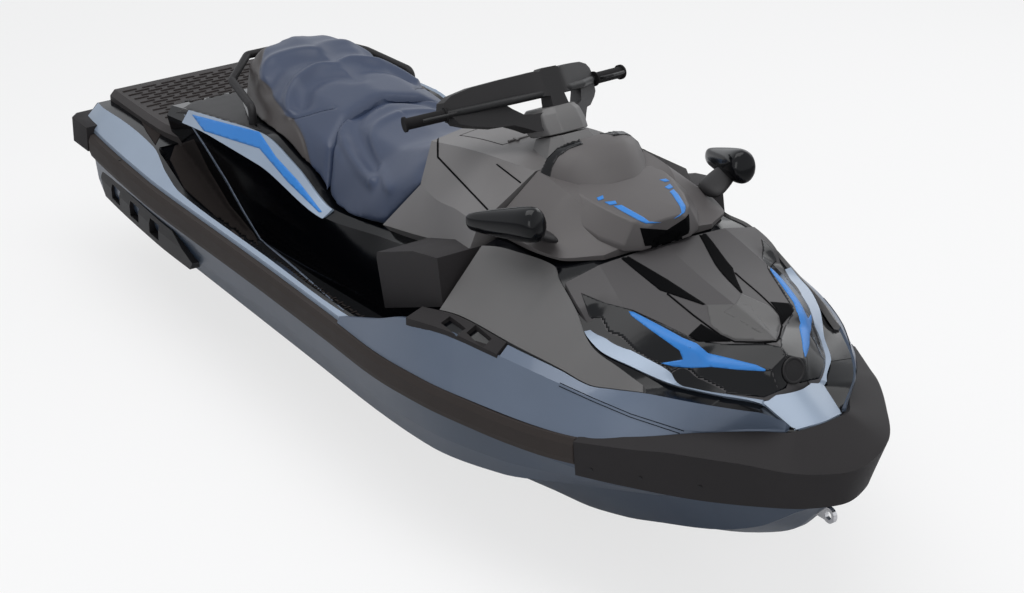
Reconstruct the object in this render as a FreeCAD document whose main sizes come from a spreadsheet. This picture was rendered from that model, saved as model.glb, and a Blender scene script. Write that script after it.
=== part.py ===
# Three-seat personal watercraft with a direct-access bow store, a jet pump and a reverse gate.
#
# Frame: +X forward, +Y to port, +Z up, origin amidships on the centreline at the waterline.
# Every size in the sheet is in millimetres or degrees. Heights are measured from the keel,
# and each piece's Placement lowers it by the draft, so that z = 0 is the water surface.
#
# The bodywork is built on feature lines: long fair curves such as the rub rail, the chine and
# the crease of a side panel. Neighbouring panels read the same lines, so they meet at every size.

import FreeCAD, Part
import Sketcher
import math
import os

doc = FreeCAD.newDocument("personal_watercraft")
Vec = FreeCAD.Vector
UP = Vec(0, 0, 1)

# Driving dimensions

SIZES = [
    # overall
    ("hull_length", 3450.0),
    ("beam", 1255.0),
    ("draft", 270.0),
    # hull shell
    ("bond_height", 455.0),
    ("transom_inset", 125.0),
    ("keel_pad_width", 30.0),
    ("chine_height", 238.0),
    ("chine_flat", 32.0),
    ("strake_flat", 26.0),
    # rub rail and bumpers
    ("rail_top", 494.0),
    ("rail_bottom", 418.0),
    ("rail_depth", 26.0),
    ("bumper_bottom", 398.0),
    ("bumper_wrap", 62.0),
    ("corner_bumper_length", 150.0),
    # deck
    ("floor_height", 380.0),
    ("floor_thickness", 12.0),
    ("pocket_wall", 40.0),
    ("platform_height", 548.0),
    ("gunwale_width", 46.0),
    ("panel_thickness", 8.0),
    ("panel_bite", 6.0),
    ("strip_thickness", 6.0),
    ("seat_base_height", 600.0),
    # bow store
    ("bin_length", 266.0),
    ("bin_width", 430.0),
    ("bin_depth", 300.0),
    ("bin_wall", 5.0),
    ("lid_pin_radius", 5.0),
    ("lid_hinge_x", 915.0),
    ("lid_hinge_height", 852.0),
    # steering
    ("column_x", 470.0),
    ("column_height", 1010.0),
    ("column_rake", 22.0),
    ("bar_radius", 11.0),
    ("grip_radius", 17.0),
    ("grip_length", 128.0),
    ("grip_reach", 258.0),
    # jet pump
    ("pump_height", 135.0),
    ("pump_front", -905.0),
    ("pump_length", 330.0),
    ("pump_bore", 80.0),
    ("pump_wall", 13.0),
    ("impeller_gap", 5.0),
    ("impeller_blades", 4.0),
    ("shaft_radius", 16.0),
    ("venturi_length", 118.0),
    ("jet_radius", 50.0),
    ("nozzle_length", 122.0),
    ("nozzle_pin_radius", 7.0),
    ("gate_radius", 230.0),
    ("gate_pin_radius", 8.0),
    ("gate_thickness", 7.0),
    ("gate_half_width", 134.0),
    ("tunnel_half_width", 150.0),
    ("recess_half_width", 192.0),
    ("recess_height", 392.0),
    # boarding step
    ("step_tube_radius", 12.0),
    ("step_width", 150.0),
    ("step_length", 175.0),
    ("step_centre", 300.0),
    ("step_hinge_height", 250.0),
    # eyes and sockets
    ("eye_hole_radius", 12.0),
    ("eye_bar_radius", 6.0),
    ("socket_radius", 16.0),
    ("socket_depth", 24.0),
    ("socket_spacing", 380.0),
    ("socket_x", -1420.0),
    # general fits
    ("fit", 0.3),
    ("hinge_pin_radius", 4.0),
]

sheet = doc.addObject("Spreadsheet::Sheet", "Sheet")
for row, (alias, value) in enumerate(SIZES, start=1):
    sheet.set("A%d" % row, alias)
    sheet.set("B%d" % row, str(value))
    sheet.setAlias("B%d" % row, alias)
doc.recompute()


def size(alias):
    """One driving dimension, as the sheet holds it."""
    return float(sheet.get(alias))


DRAFT = size("draft")
HALF_BEAM = size("beam") / 2.0
BOW = size("hull_length") / 2.0
STERN = -BOW
TRANSOM = STERN + size("transom_inset")
DECK_REAR = STERN + 35.0
RAIL_TOP = size("rail_top")
BOND = size("bond_height")
FLOOR = size("floor_height")
PLATFORM = size("platform_height")
SKIN = size("panel_thickness")
FIT = size("fit")


# Feature lines

class FeatureLine:
    """A fair line: x, y and height as smooth functions of a station value."""

    def __init__(self, knots):
        self.stations = [float(k[0]) for k in knots]
        self.points = [tuple(float(c) for c in k[1:]) for k in knots]
        self.slopes = None

    def _slope(self, index, axis):
        """Slope at a knot, limited so that the line adds no bump between knots."""
        s, p = self.stations, self.points
        last = len(s) - 1

        def secant(i):
            return (p[i + 1][axis] - p[i][axis]) / (s[i + 1] - s[i])

        if index == 0:
            return secant(0)
        if index == last:
            return secant(last - 1)
        before, after = secant(index - 1), secant(index)
        if before * after <= 0.0:
            return 0.0
        return 2.0 * before * after / (before + after)

    def _prepare(self):
        if self.slopes is None:
            count = len(self.stations)
            self.slopes = [tuple(self._slope(i, axis) for axis in range(3)) for i in range(count)]

    def at(self, station):
        """Point and slope at a station, as two triples."""
        self._prepare()
        s = self.stations
        i = 0
        while i < len(s) - 2 and station > s[i + 1]:
            i += 1
        width = s[i + 1] - s[i]
        w = (station - s[i]) / width
        point, slope = [], []
        for axis in range(3):
            a, b = self.points[i][axis], self.points[i + 1][axis]
            da, db = self.slopes[i][axis] * width, self.slopes[i + 1][axis] * width
            c2 = 3.0 * (b - a) - 2.0 * da - db
            c3 = 2.0 * (a - b) + da + db
            point.append(a + da * w + c2 * w * w + c3 * w ** 3)
            slope.append((da + 2.0 * c2 * w + 3.0 * c3 * w * w) / width)
        return tuple(point), tuple(slope)

    def point(self, station):
        return Vec(*self.at(station)[0])

    def _combined(self, other, make):
        stations = sorted(set(self.stations) | set(other.stations)) if other else self.stations
        line = FeatureLine([(0, 0, 0, 0)])
        line.stations = list(stations)
        line.points, line.slopes = [], []
        for station in stations:
            mine = self.at(station)
            theirs = other.at(station) if other else mine
            line.points.append(tuple(make(mine[0][a], theirs[0][a], a, 1.0) for a in range(3)))
            line.slopes.append(tuple(make(mine[1][a], theirs[1][a], a, 0.0) for a in range(3)))
        return line

    def moved(self, x=0.0, y=0.0, height=0.0):
        """The same line, shifted."""
        shift = (x, y, height)
        return self._combined(None, lambda mine, theirs, axis, whole: mine + whole * shift[axis])

    def blend(self, other, share):
        """A line between this one and another, share 0 to 1 of the way across."""
        return self._combined(other, lambda a, b, axis, whole: a + share * (b - a))

    def mirrored(self):
        """The same line on the other side of the boat."""
        return self._combined(None, lambda a, b, axis, whole: -a if axis == 1 else a)

    def curve(self, start, end):
        """The line from one station to another, as a B-spline."""
        knots = [start] + [s for s in self.stations if start < s < end] + [end]
        values = [self.at(s) for s in knots]
        poles = [Vec(*values[0][0])]
        for i in range(len(knots) - 1):
            third = (knots[i + 1] - knots[i]) / 3.0
            poles.append(Vec(*values[i][0]) + Vec(*values[i][1]) * third)
            poles.append(Vec(*values[i + 1][0]) - Vec(*values[i + 1][1]) * third)
        poles.append(Vec(*values[-1][0]))
        curve = Part.BSplineCurve()
        counts = [4] + [2] * (len(knots) - 2) + [4]
        curve.buildFromPolesMultsKnots(poles, counts, [k - start for k in knots], False, 3)
        return curve


def lengthwise(*knots):
    """A line whose station is x itself: knots are (x, y, height)."""
    return FeatureLine([(x, x, y, height) for x, y, height in knots])


def both_sides(lines):
    """Port lines from the bottom up, then their mirror images from the top down."""
    return list(lines) + [line.mirrored() for line in reversed(lines)]


def cap(points):
    """An end wall through points that need not be quite flat."""
    corners = [points[0]]
    for point in points[1:]:
        if (point - corners[-1]).Length > 1e-6 and (point - points[0]).Length > 1e-6:
            corners.append(point)
    wire = Part.makePolygon(corners + [corners[0]])
    if wire.findPlane(1e-6) is not None:
        return [Part.Face(wire)]
    faces = []
    for i in range(1, len(corners) - 1):
        faces.append(Part.Face(Part.makePolygon([corners[0], corners[i], corners[i + 1], corners[0]])))
    return faces


def loft(lines, start, end):
    """A closed body whose section has one corner on each line."""
    curves = [line.curve(start, end) for line in lines]
    faces = []
    for i, curve in enumerate(curves):
        faces.append(curve.makeRuledSurface(curves[(i + 1) % len(curves)]).toShape())
    for station in (start, end):
        faces += cap([line.point(station) for line in lines])
    return solid_of(faces)


def tower(low, high):
    """A body between two outlines with the same number of (x, y, height) corners."""
    return loft([FeatureLine([(0,) + a, (1,) + b]) for a, b in zip(low, high)], 0, 1)


def solid_of(faces):
    """Faces sewn to one solid with its walls facing out."""
    shell = Part.makeShell(faces)
    shell.sewShape()
    body = Part.makeSolid(shell)
    if body.Volume < 0.0:
        body.reverse()
    return body


def prism(points, low, high):
    """A straight block over a plan outline of (x, y) corners."""
    wire = Part.makePolygon([Vec(x, y, low) for x, y in points + points[:1]])
    return Part.Face(wire).extrude(Vec(0, 0, high - low))


def side_prism(points, low, high):
    """A straight block over a side outline of (x, height) corners, from y = low to high."""
    wire = Part.makePolygon([Vec(x, low, z) for x, z in points + points[:1]])
    return Part.Face(wire).extrude(Vec(0, high - low, 0))


def box(low, high):
    """A box between two corners."""
    return Part.makeBox(high[0] - low[0], high[1] - low[1], high[2] - low[2], Vec(*low))


def mirror_y(shape):
    """The same piece on the other side of the boat."""
    return shape.mirror(Vec(0, 0, 0), Vec(0, 1, 0))


def largest(shape):
    """The main solid of a cut, without crumbs."""
    solids = sorted(shape.Solids, key=lambda one: one.Volume)
    return solids[-1]


def carve(shape, *tools):
    """Cut pieces out of a shape one after another, passing over those that are nowhere near."""
    for tool in tools:
        if shape.BoundBox.intersect(tool.BoundBox):
            shape = shape.cut(tool)
    return shape


PARTS = []


def keep(label, shape):
    """Add a piece that is modelled in keel heights, and float it."""
    node = doc.addObject("Part::Feature", label)
    node.Shape = shape
    node.Placement = FreeCAD.Placement(Vec(0, 0, -DRAFT), FreeCAD.Rotation())
    node.Label = label
    PARTS.append(node)
    return node


# Plan of the sheer: x and how far the rub rail's face lies inside the half beam

SHEER_INSETS = [
    (DECK_REAR, 142), (TRANSOM, 128), (-1400, 101), (-1200, 80), (-1000, 63), (-670, 50), (-300, 37),
    (150, 15), (430, 0), (640, 14), (870, 56), (1050, 96), (1180, 137), (1320, 206), (1460, 308),
    (BOW - 135, 438), (BOW - 55, 557.5)]
RAIL_START = STERN + 165.0
RAIL_END = 1180.0
BOW_RISE = {1050: 6.0, 1180: 16.0, 1320: 26.0}


def rail_line(inward, height):
    """A line that runs along the sheer, a distance inside the rail's face."""
    return lengthwise(*[
        (x, HALF_BEAM - inset - inward, height + BOW_RISE.get(x, 0.0)) for x, inset in SHEER_INSETS[:-3]])


# Hull: keel pad, lifting strake, chine and flared side, up to the bond with the deck

half_pad = size("keel_pad_width") / 2.0
chine = size("chine_height")
wall_line = lengthwise(*[(x, HALF_BEAM - inset - size("rail_depth"), 0.0) for x, inset in SHEER_INSETS])
hull_top = wall_line.moved(height=BOND)
hull_side = wall_line.moved(y=-3, height=size("rail_bottom") - 8)
keel_line = lengthwise(
    (TRANSOM, half_pad, 0), (650, half_pad, 0), (900, half_pad, 18), (1100, half_pad, 62),
    (1250, half_pad, 112), (1410, half_pad - 1, 182), (1520, half_pad - 2, 245),
    (BOW - 115, half_pad - 3, 340), (BOW - 55, half_pad - 5, 392))
strake_in = lengthwise(
    (TRANSOM, 225, 96), (0, 235, 100), (600, 238, 103), (900, 236, 124), (1100, 226, 164),
    (1250, 204, 206), (1410, 156, 246), (1520, 108, 292), (BOW - 115, 58, 360), (BOW - 55, 20, 398))
strake_out = strake_in.blend(strake_in.moved(y=size("strake_flat"), height=1), 1.0)
chine_out = lengthwise(
    (TRANSOM, 438, chine + 4), (-950, 472, chine), (-400, 500, chine), (0, 521, chine),
    (330, 541, chine + 4), (600, 549, chine + 16), (900, 515, chine + 52), (1100, 446, chine + 92),
    (1250, 370, chine + 112), (1410, 272, chine + 130), (1520, 188, chine + 142),
    (BOW - 115, 112, chine + 152), (BOW - 55, 52, chine + 163))
chine_in = chine_out.moved(y=-size("chine_flat"), height=2)
strake_out.points[-1] = (strake_in.points[-1][0], strake_in.points[-1][1] + 4, strake_in.points[-1][2] + 1)
chine_in.points[-1] = (chine_out.points[-1][0], chine_out.points[-1][1] - 14, chine_out.points[-1][2] - 1)
side_crease = chine_out.blend(hull_side, 0.42).moved(y=7)

hull_lines = [keel_line, strake_in, strake_out, chine_in, chine_out, side_crease, hull_side, hull_top]
hull_end = BOW - 55
hull_raw = loft(both_sides(hull_lines), TRANSOM, hull_end)

# Pocket in the hull for the footwells, and the deck moulding that drops into it
pocket_line = wall_line.moved(y=-size("pocket_wall"))
POCKET_REAR = -1230.0
FRONT_START = 600.0
POCKET_FRONT = FRONT_START
pocket_floor = FLOOR - size("floor_thickness")


def centre_block(line, low, high, start, end):
    """A level block across the boat, its sides on one plan line."""
    return loft([line.moved(height=low), line.moved(height=high),
                 line.mirrored().moved(height=high), line.mirrored().moved(height=low)], start, end)


pocket = centre_block(pocket_line, pocket_floor, BOND + 40, POCKET_REAR, POCKET_FRONT)

# Tunnel of the jet pump, its intake slope, and the wider recess round the nozzle
axis_height = size("pump_height")
tunnel_half = size("tunnel_half_width")
recess_half = size("recess_half_width")
pump_front = size("pump_front")
RECESS_FRONT = pump_front - size("pump_length") - 5
TUNNEL_ROOF = axis_height + 150
tunnel = box((RECESS_FRONT - 60, -tunnel_half, -10), (pump_front, tunnel_half, TUNNEL_ROOF))
recess = box((TRANSOM - 10, -recess_half, -10), (RECESS_FRONT, recess_half, size("recess_height")))
INTAKE_HALF = 78.0
shaft_hole = Part.makeCylinder(
    size("shaft_radius") + FIT, 260, Vec(pump_front, 0, axis_height), Vec(1, 0, 0))
intake = side_prism(
    [(pump_front - 1, axis_height - 66), (pump_front - 1, axis_height + 66),
     (pump_front + 60, axis_height + 66), (pump_front + 470, -10), (pump_front + 130, -10)],
    -INTAKE_HALF, INTAKE_HALF)

# The engine is one plain block on the keel under the seats
ENGINE_LOW = (-360.0, -165.0, 120.0)
ENGINE_HIGH = (160.0, 165.0, 352.0)
engine_bay = box([c - FIT for c in ENGINE_LOW], [c + FIT for c in ENGINE_HIGH[:2]] + [pocket_floor + 1])
keep("engine_block", box(ENGINE_LOW[:2] + (ENGINE_LOW[2] - FIT,), ENGINE_HIGH))
hull_shape = carve(hull_raw, pocket, tunnel, recess, intake, shaft_hole, engine_bay)
keep("hull", largest(hull_shape))

# Front bodywork lines, from the rub rail up to the crown of the hood.
# The station is x for most of the length; towards the bow each line ends at its own x.

edge_line = FeatureLine([
    (200, 200, HALF_BEAM - 28, RAIL_TOP), (430, 430, HALF_BEAM - 15, RAIL_TOP),
    (640, 640, HALF_BEAM - 29, RAIL_TOP), (870, 870, HALF_BEAM - 71, RAIL_TOP + 2),
    (1050, 1050, HALF_BEAM - 112, RAIL_TOP + 7), (1200, 1195, HALF_BEAM - 162, RAIL_TOP + 17),
    (1320, 1322, HALF_BEAM - 264, RAIL_TOP + 44), (1430, 1425, 263, RAIL_TOP + 68),
    (1500, BOW - 220, 172, RAIL_TOP + 79), (1550, BOW - 146, 86, RAIL_TOP + 83)])
crease_a = FeatureLine([
    (200, 200, HALF_BEAM - 36, RAIL_TOP + 18), (390, 390, HALF_BEAM - 34, RAIL_TOP + 84),
    (550, 550, HALF_BEAM - 44, RAIL_TOP + 142), (680, 680, HALF_BEAM - 74, RAIL_TOP + 150),
    (870, 870, HALF_BEAM - 121, RAIL_TOP + 137), (1050, 1050, HALF_BEAM - 161, RAIL_TOP + 128),
    (1200, 1195, HALF_BEAM - 209, RAIL_TOP + 110), (1320, 1310, HALF_BEAM - 276, RAIL_TOP + 87),
    (1430, 1420, 270, RAIL_TOP + 75), (1500, BOW - 222, 172, RAIL_TOP + 87), (1550, BOW - 147, 85, RAIL_TOP + 90)])
crease_b = FeatureLine([
    (200, 200, HALF_BEAM - 80, RAIL_TOP + 20), (390, 390, HALF_BEAM - 84, RAIL_TOP + 86),
    (550, 550, HALF_BEAM - 96, RAIL_TOP + 160), (680, 680, HALF_BEAM - 127, RAIL_TOP + 172),
    (870, 870, HALF_BEAM - 149, RAIL_TOP + 163), (1050, 1050, HALF_BEAM - 189, RAIL_TOP + 149),
    (1150, 1152, HALF_BEAM - 217, RAIL_TOP + 134), (1200, 1200, HALF_BEAM - 244, RAIL_TOP + 138),
    (1320, 1310, HALF_BEAM - 307, RAIL_TOP + 148), (1430, 1431, 246, RAIL_TOP + 148),
    (1500, BOW - 203, 168, RAIL_TOP + 143), (1550, BOW - 151, 83, RAIL_TOP + 99)])
crease_d = FeatureLine([
    (550, 550, 392, 812), (680, 680, 345, 836), (840, 838, 300, 832), (900, 895, 324, 818),
    (1000, 1000, 344, 768), (1060, 1062, 359, 720), (1100, 1105, 358, 702), (1200, 1205, 323, 680),
    (1320, 1318, 246, 646), (1430, 1410, 186, 641), (1500, BOW - 247, 112, 624), (1550, BOW - 152, 79, 581)])
shroud_top = FeatureLine([
    (550, 550, 392, 812), (680, 680, 345, 836), (840, 838, 300, 832), (900, 895, 324, 818),
    (1000, 1000, 344, 768), (1060, 1062, 359, 720), (1100, 1100, 362, 702), (1200, 1190, 349, 680),
    (1260, 1240, 337, 663), (1320, 1303, 323, 644)])
crease_e = FeatureLine([
    (550, 550, 388, 816), (680, 680, 341, 840), (840, 838, 296, 837), (900, 896, 320, 823),
    (1000, 1001, 339, 775), (1045, 1045, 327, 727), (1100, 1102, 311, 716), (1200, 1205, 279, 697),
    (1260, 1262, 252, 678), (1320, 1316, 224, 641), (1430, 1402, 172, 640), (1500, BOW - 257, 98, 628),
    (1550, BOW - 238, 48, 613)])
crease_g = FeatureLine([
    (550, 550, 215, 868), (840, 840, 205, 858), (900, 900, 212, 846), (1100, 1094, 242, 772),
    (1200, 1189, 224, 752), (1300, 1284, 193, 729), (1360, 1330, 166, 702), (1430, 1387, 114, 699),
    (1500, 1423, 78, 696), (1550, BOW - 277, 56, 692)])
crown = FeatureLine([
    (550, 550, 0.0, 872), (840, 840, 0.0, 862), (950, 950, 0.0, 842), (1100, 1094, 0.0, 806),
    (1300, 1290, 0.0, 768), (1430, 1392, 0.0, 742), (1550, BOW - 284, 0.0, 716)])

CORE_END = 1430.0
NOSE_START, NOSE_END = 1405.0, 1550.0

core_lines = [
    edge_line.moved(x=-4, y=-SKIN - 8, height=BOND - RAIL_TOP),
    edge_line.moved(x=-2, y=-SKIN),
    crease_a.moved(x=-3, y=-SKIN, height=-3),
    crease_b.moved(x=-4, y=-3, height=-SKIN),
    crease_d.moved(x=-5, y=-4, height=-SKIN),
    crease_g.moved(x=-6, height=-SKIN - 2),
    crown.moved(x=-6, height=-SKIN - 2)]
core_half = core_lines[:-1]
core_body = loft(core_half + [core_lines[-1]] + [line.mirrored() for line in reversed(core_half)],
                 FRONT_START, CORE_END)
nose_lines = [line.moved(y=-1, height=-1) for line in core_lines[:5]]
core_raw = core_body.fuse(loft(both_sides(nose_lines), NOSE_START, NOSE_END))

# Deck moulding: gunwales, footwells, the pedestal under the seats and the boarding platform

GUNWALE_END = FRONT_START - FIT
gunwale_low = wall_line.moved(height=RAIL_TOP - 2)
gunwale_edge = wall_line.moved(y=-2, height=RAIL_TOP + 12)
gunwale_in = lengthwise(
    (DECK_REAR, 402, PLATFORM + 8), (TRANSOM, 420, PLATFORM + 12), (-1450, 424, PLATFORM + 14),
    (-1200, 446, PLATFORM + 8), (-1000, HALF_BEAM - 126, RAIL_TOP + 40),
    (-880, HALF_BEAM - 106, RAIL_TOP + 22), (-670, HALF_BEAM - 96, RAIL_TOP + 16),
    (-300, HALF_BEAM - 82, RAIL_TOP + 16), (150, HALF_BEAM - 60, RAIL_TOP + 16),
    (430, HALF_BEAM - 62, RAIL_TOP + 20), (700, HALF_BEAM - 80, RAIL_TOP + 30))
strip_step = size("strip_thickness")
deck_sides = [wall_line.moved(y=-FIT, height=BOND), gunwale_low.moved(y=-strip_step),
              gunwale_edge.moved(y=-strip_step, height=-strip_step),
              gunwale_in.moved(height=-strip_step)]
deck_upper = loft(both_sides(deck_sides), DECK_REAR, GUNWALE_END)
deck_lower = centre_block(pocket_line.moved(y=-FIT), pocket_floor, BOND, POCKET_REAR + FIT, POCKET_FRONT - FIT)

FOOTWELL_REAR = -1190.0
FOOTWELL_FRONT = 560.0


def footwell_line(inward, *heights):
    """A line on the footwell's outer wall, its heights given at the ramp, floor and toe board."""
    return lengthwise(
        (FOOTWELL_REAR, 446 - inward, heights[0]), (-760, HALF_BEAM - 112 - inward, heights[1]),
        (-300, HALF_BEAM - 96 - inward, heights[1]), (150, HALF_BEAM - 76 - inward, heights[1]),
        (430, HALF_BEAM - 76 - inward, heights[1]), (FOOTWELL_FRONT, HALF_BEAM - 96 - inward, heights[2]))


well_floor_out = footwell_line(34, PLATFORM - 4, FLOOR, FLOOR + 90)
well_top_out = footwell_line(0, 900, 900, 900)
well_top_in = lengthwise((FOOTWELL_REAR, 250, 900), (FOOTWELL_FRONT, 250, 900))
well_floor_in = lengthwise(
    (FOOTWELL_REAR, 250, PLATFORM - 4), (-760, 250, FLOOR), (430, 250, FLOOR), (FOOTWELL_FRONT, 250, FLOOR + 90))
well_lip_out = footwell_line(6, PLATFORM + 6, RAIL_TOP - 6, RAIL_TOP - 6)
footwell = loft([well_floor_in, well_floor_out, well_lip_out, well_top_out, well_top_in],
                FOOTWELL_REAR, FOOTWELL_FRONT)

pedestal_lines = [
    lengthwise((-1230, 330, pocket_floor + 4), (-760, 348, pocket_floor + 4), (-360, 356, pocket_floor + 4),
               (0, 346, pocket_floor + 4), (600, 330, pocket_floor + 4)),
    lengthwise((-1230, 350, 545), (-760, 344, 500), (-360, 346, 500), (0, 330, 500), (600, 322, 520)),
    lengthwise((-1230, 372, 640), (-900, 376, 668), (-620, 368, 662), (-280, 340, 588), (0, 302, 610),
               (300, 312, 672), (600, 345, 740)),
    lengthwise((-1230, 350, 668), (-900, 340, 716), (-660, 322, 738), (-480, 316, 690), (-280, 304, 606),
               (0, 280, 626), (300, 292, 684), (600, 330, 752))]
pedestal = loft(both_sides(pedestal_lines), -1230, GUNWALE_END)
deck_shape = deck_upper.fuse(deck_lower)
deck_shape = carve(deck_shape, footwell, mirror_y(footwell))
deck_shape = deck_shape.fuse(pedestal).removeSplitter()
deck_shape = largest(deck_shape)
keep("deck", deck_shape)

# Front moulding under the hood, with the pocket for the bow store

BIN_FRONT = 872.0
bin_wall = size("bin_wall")
bin_rear = BIN_FRONT - size("bin_length")
bin_half = size("bin_width") / 2.0
BIN_TOP = 838.0
bin_floor = BIN_TOP - size("bin_depth")
bin_pocket = box((bin_rear - FIT, -bin_half - FIT, bin_floor - FIT), (BIN_FRONT + FIT, bin_half + FIT, 1000))
lid_ledge = box((bin_rear - 40, -322, BIN_TOP), (size("lid_hinge_x") + 4, 322, 1100))
hinge = Vec(size("lid_hinge_x"), 0, size("lid_hinge_height"))
lid_pin = size("lid_pin_radius")
LID_KNUCKLE_HALF, LID_KNUCKLE_WIDTH = 78.0, 10.0
deck_front = carve(core_raw, bin_pocket, lid_ledge, box((FRONT_START - 60, -HALF_BEAM, 0), (FRONT_START, HALF_BEAM, 1200)))
for side in (1, -1):
    inner, outer = sorted((side * LID_KNUCKLE_HALF, side * (LID_KNUCKLE_HALF + LID_KNUCKLE_WIDTH)))
    deck_front = deck_front.fuse(box((hinge.x - 7, inner, BIN_TOP - 20), (hinge.x + 8, outer, hinge.z + 7)))
deck_front = largest(deck_front.cut(Part.makeCylinder(
    lid_pin + FIT, 4 * LID_KNUCKLE_HALF, hinge - Vec(0, 2 * LID_KNUCKLE_HALF, 0), Vec(0, 1, 0))).removeSplitter())
keep("deck_front", deck_front)
bin_tub = box((bin_rear, -bin_half, bin_floor), (BIN_FRONT, bin_half, BIN_TOP)).cut(
    box((bin_rear + bin_wall, -bin_half + bin_wall, bin_floor + bin_wall),
        (BIN_FRONT - bin_wall, bin_half - bin_wall, BIN_TOP + 1)))
keep("storage_bin", bin_tub.cut(deck_front))

# Rub rails: a rubber strip with a blunt nose, one each side

rail_depth = size("rail_depth")
RAIL_GAP = 0.8
rail_bottom = size("rail_bottom")
rail_mid = (RAIL_TOP + rail_bottom) / 2.0
rail_lines = [
    rail_line(rail_depth - RAIL_GAP, rail_bottom + 2), rail_line(6, rail_bottom), rail_line(1, rail_mid - 22),
    rail_line(0, rail_mid + 18), rail_line(8, RAIL_TOP - 2), rail_line(rail_depth - RAIL_GAP, RAIL_TOP)]
rail_solid = largest(carve(loft(rail_lines, RAIL_START, RAIL_END), deck_front))
keep("rub_rails", Part.makeCompound([rail_solid, mirror_y(rail_solid)]))

# Panels on the front moulding


def panel(lower, upper, low_gap, high_gap, start, end, carrier, depth):
    """A moulded panel between two lines, its back cut to the piece that carries it."""
    low = lower.blend(upper, low_gap)
    high = lower.blend(upper, 1.0 - high_gap)
    bottom_in = low.moved(y=-depth[0], height=-depth[1])
    top_in = high.moved(y=-depth[2], height=-depth[3])
    raw = loft([low, high, top_in, bottom_in], start, end)
    return largest(carve(raw, *carrier))


bite = SKIN + size("panel_bite")
carriers = [deck_front, deck_shape, hull_shape, rail_solid]
PANEL_STEP = 874.0
side_aft = loft(
    [edge_line, crease_a, crease_a.moved(y=-bite, height=-2), edge_line.moved(y=-bite, height=2)], 200, PANEL_STEP)
side_top = crease_a.blend(crease_b, 0.98)
side_fore = loft(
    [edge_line, crease_a, side_top, side_top.moved(y=2 - bite, height=-bite),
     crease_a.moved(y=-bite, height=-2), edge_line.moved(y=-bite, height=2)], PANEL_STEP, 1540)
side_panel = largest(carve(side_aft.fuse(side_fore), *carriers).removeSplitter())
side_right = largest(mirror_y(side_panel).cut(deck_front))
keep("side_panels", Part.makeCompound([side_panel, side_right]))
shroud = panel(crease_b, shroud_top, 0.03, 0.02, 604, 1286, carriers, (bite - 2, bite, bite - 4, bite + 2))
keep("shrouds", Part.makeCompound([shroud, mirror_y(shroud)]))
ribbon = panel(crease_d, crease_e, 0.04, 0.04, 1046, 1500, carriers, (bite, bite, bite, bite))
ribbon_right = largest(mirror_y(ribbon).cut(deck_front))
keep("ribbons", Part.makeCompound([ribbon, ribbon_right]))
hood_start = 925.0
HOOD_END = 1550.0
hood_lines = [crease_e, crease_g, crown]
hood_in = [line.moved(height=-bite) for line in hood_lines]
hood_raw = loft(
    [hood_in[0], crease_e, crease_g, crown, crease_g.mirrored(), crease_e.mirrored(),
     hood_in[0].mirrored(), hood_in[1].mirrored(), hood_in[2], hood_in[1]], hood_start, HOOD_END)
hood_shape = largest(carve(hood_raw, deck_front, ribbon, mirror_y(ribbon)))
keep("hood", hood_shape)

# Bow bumper: a thick black moulding round the nose

bumper_low = size("bumper_bottom")
bumper_crease = FeatureLine([
    (0, 1182, HALF_BEAM - 138, RAIL_TOP + 8), (30, 1325, HALF_BEAM - 218, RAIL_TOP + 23),
    (60, 1437, 343, RAIL_TOP + 37), (80, BOW - 165, 254, RAIL_TOP + 38), (92, BOW - 45, 144, RAIL_TOP + 26),
    (100, BOW, 0, RAIL_TOP + 14)])
bumper_top = FeatureLine([
    (0, 1182, HALF_BEAM - 154, RAIL_TOP + 18), (30, 1320, HALF_BEAM - 260, RAIL_TOP + 46),
    (60, 1425, 265, RAIL_TOP + 71), (80, BOW - 205, 156, RAIL_TOP + 83), (92, BOW - 141, 84, RAIL_TOP + 87),
    (100, BOW - 136, 0, RAIL_TOP + 88)])
bumper_foot = FeatureLine([
    (0, 1182, HALF_BEAM - 146, bumper_low + 4), (30, 1300, HALF_BEAM - 219, bumper_low),
    (60, 1450, 312, bumper_low), (80, BOW - 140, 192, bumper_low), (92, BOW - 60, 92, bumper_low),
    (100, BOW - 30, 0, bumper_low)])
wrap = size("bumper_wrap")


def half_and_mirror(line, inset):
    """A nose line from the port end round to the starboard end, moved inwards."""
    knots = []
    for station, point in zip(line.stations, line.points):
        knots.append((station, point[0] - inset * station / 100.0, max(point[1] - inset, 0.0), point[2]))
    knots[-1] = (knots[-1][0], knots[-1][1], 0.0, knots[-1][3])
    far = [(200 - k[0], k[1], -k[2], k[3]) for k in reversed(knots[:-1])]
    return FeatureLine(knots + far)


bumper_raw = loft(
    [half_and_mirror(bumper_foot, 0), half_and_mirror(bumper_crease, 0), half_and_mirror(bumper_top, 0),
     half_and_mirror(bumper_top, wrap).moved(height=-30), half_and_mirror(bumper_foot, wrap)], 0, 200)

bow_rear = FeatureLine([
    (0, BOW - 272, 104, 629), (1, BOW - 232, 0, 636), (2, BOW - 272, -104, 629)])
bow_front = FeatureLine([
    (0, BOW - 152, 80, 581), (1, BOW - 137, 0, 586), (2, BOW - 152, -80, 581)])
bow_raw = loft([bow_rear, bow_front, bow_front.moved(height=-22), bow_rear.moved(height=-30)], 0, 2)
bow_panel = largest(carve(bow_raw, deck_front, hood_shape, ribbon, ribbon_right, side_panel, side_right))
keep("bow_panel", bow_panel)
rail_right = mirror_y(rail_solid)
bumper = largest(carve(
    bumper_raw, hull_shape, deck_front, side_panel, side_right, bow_panel, rail_solid, rail_right))
keep("bow_bumper", bumper)

# Fender hooks' mounts: black blocks over the top edge of each side panel, with two slots

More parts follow.
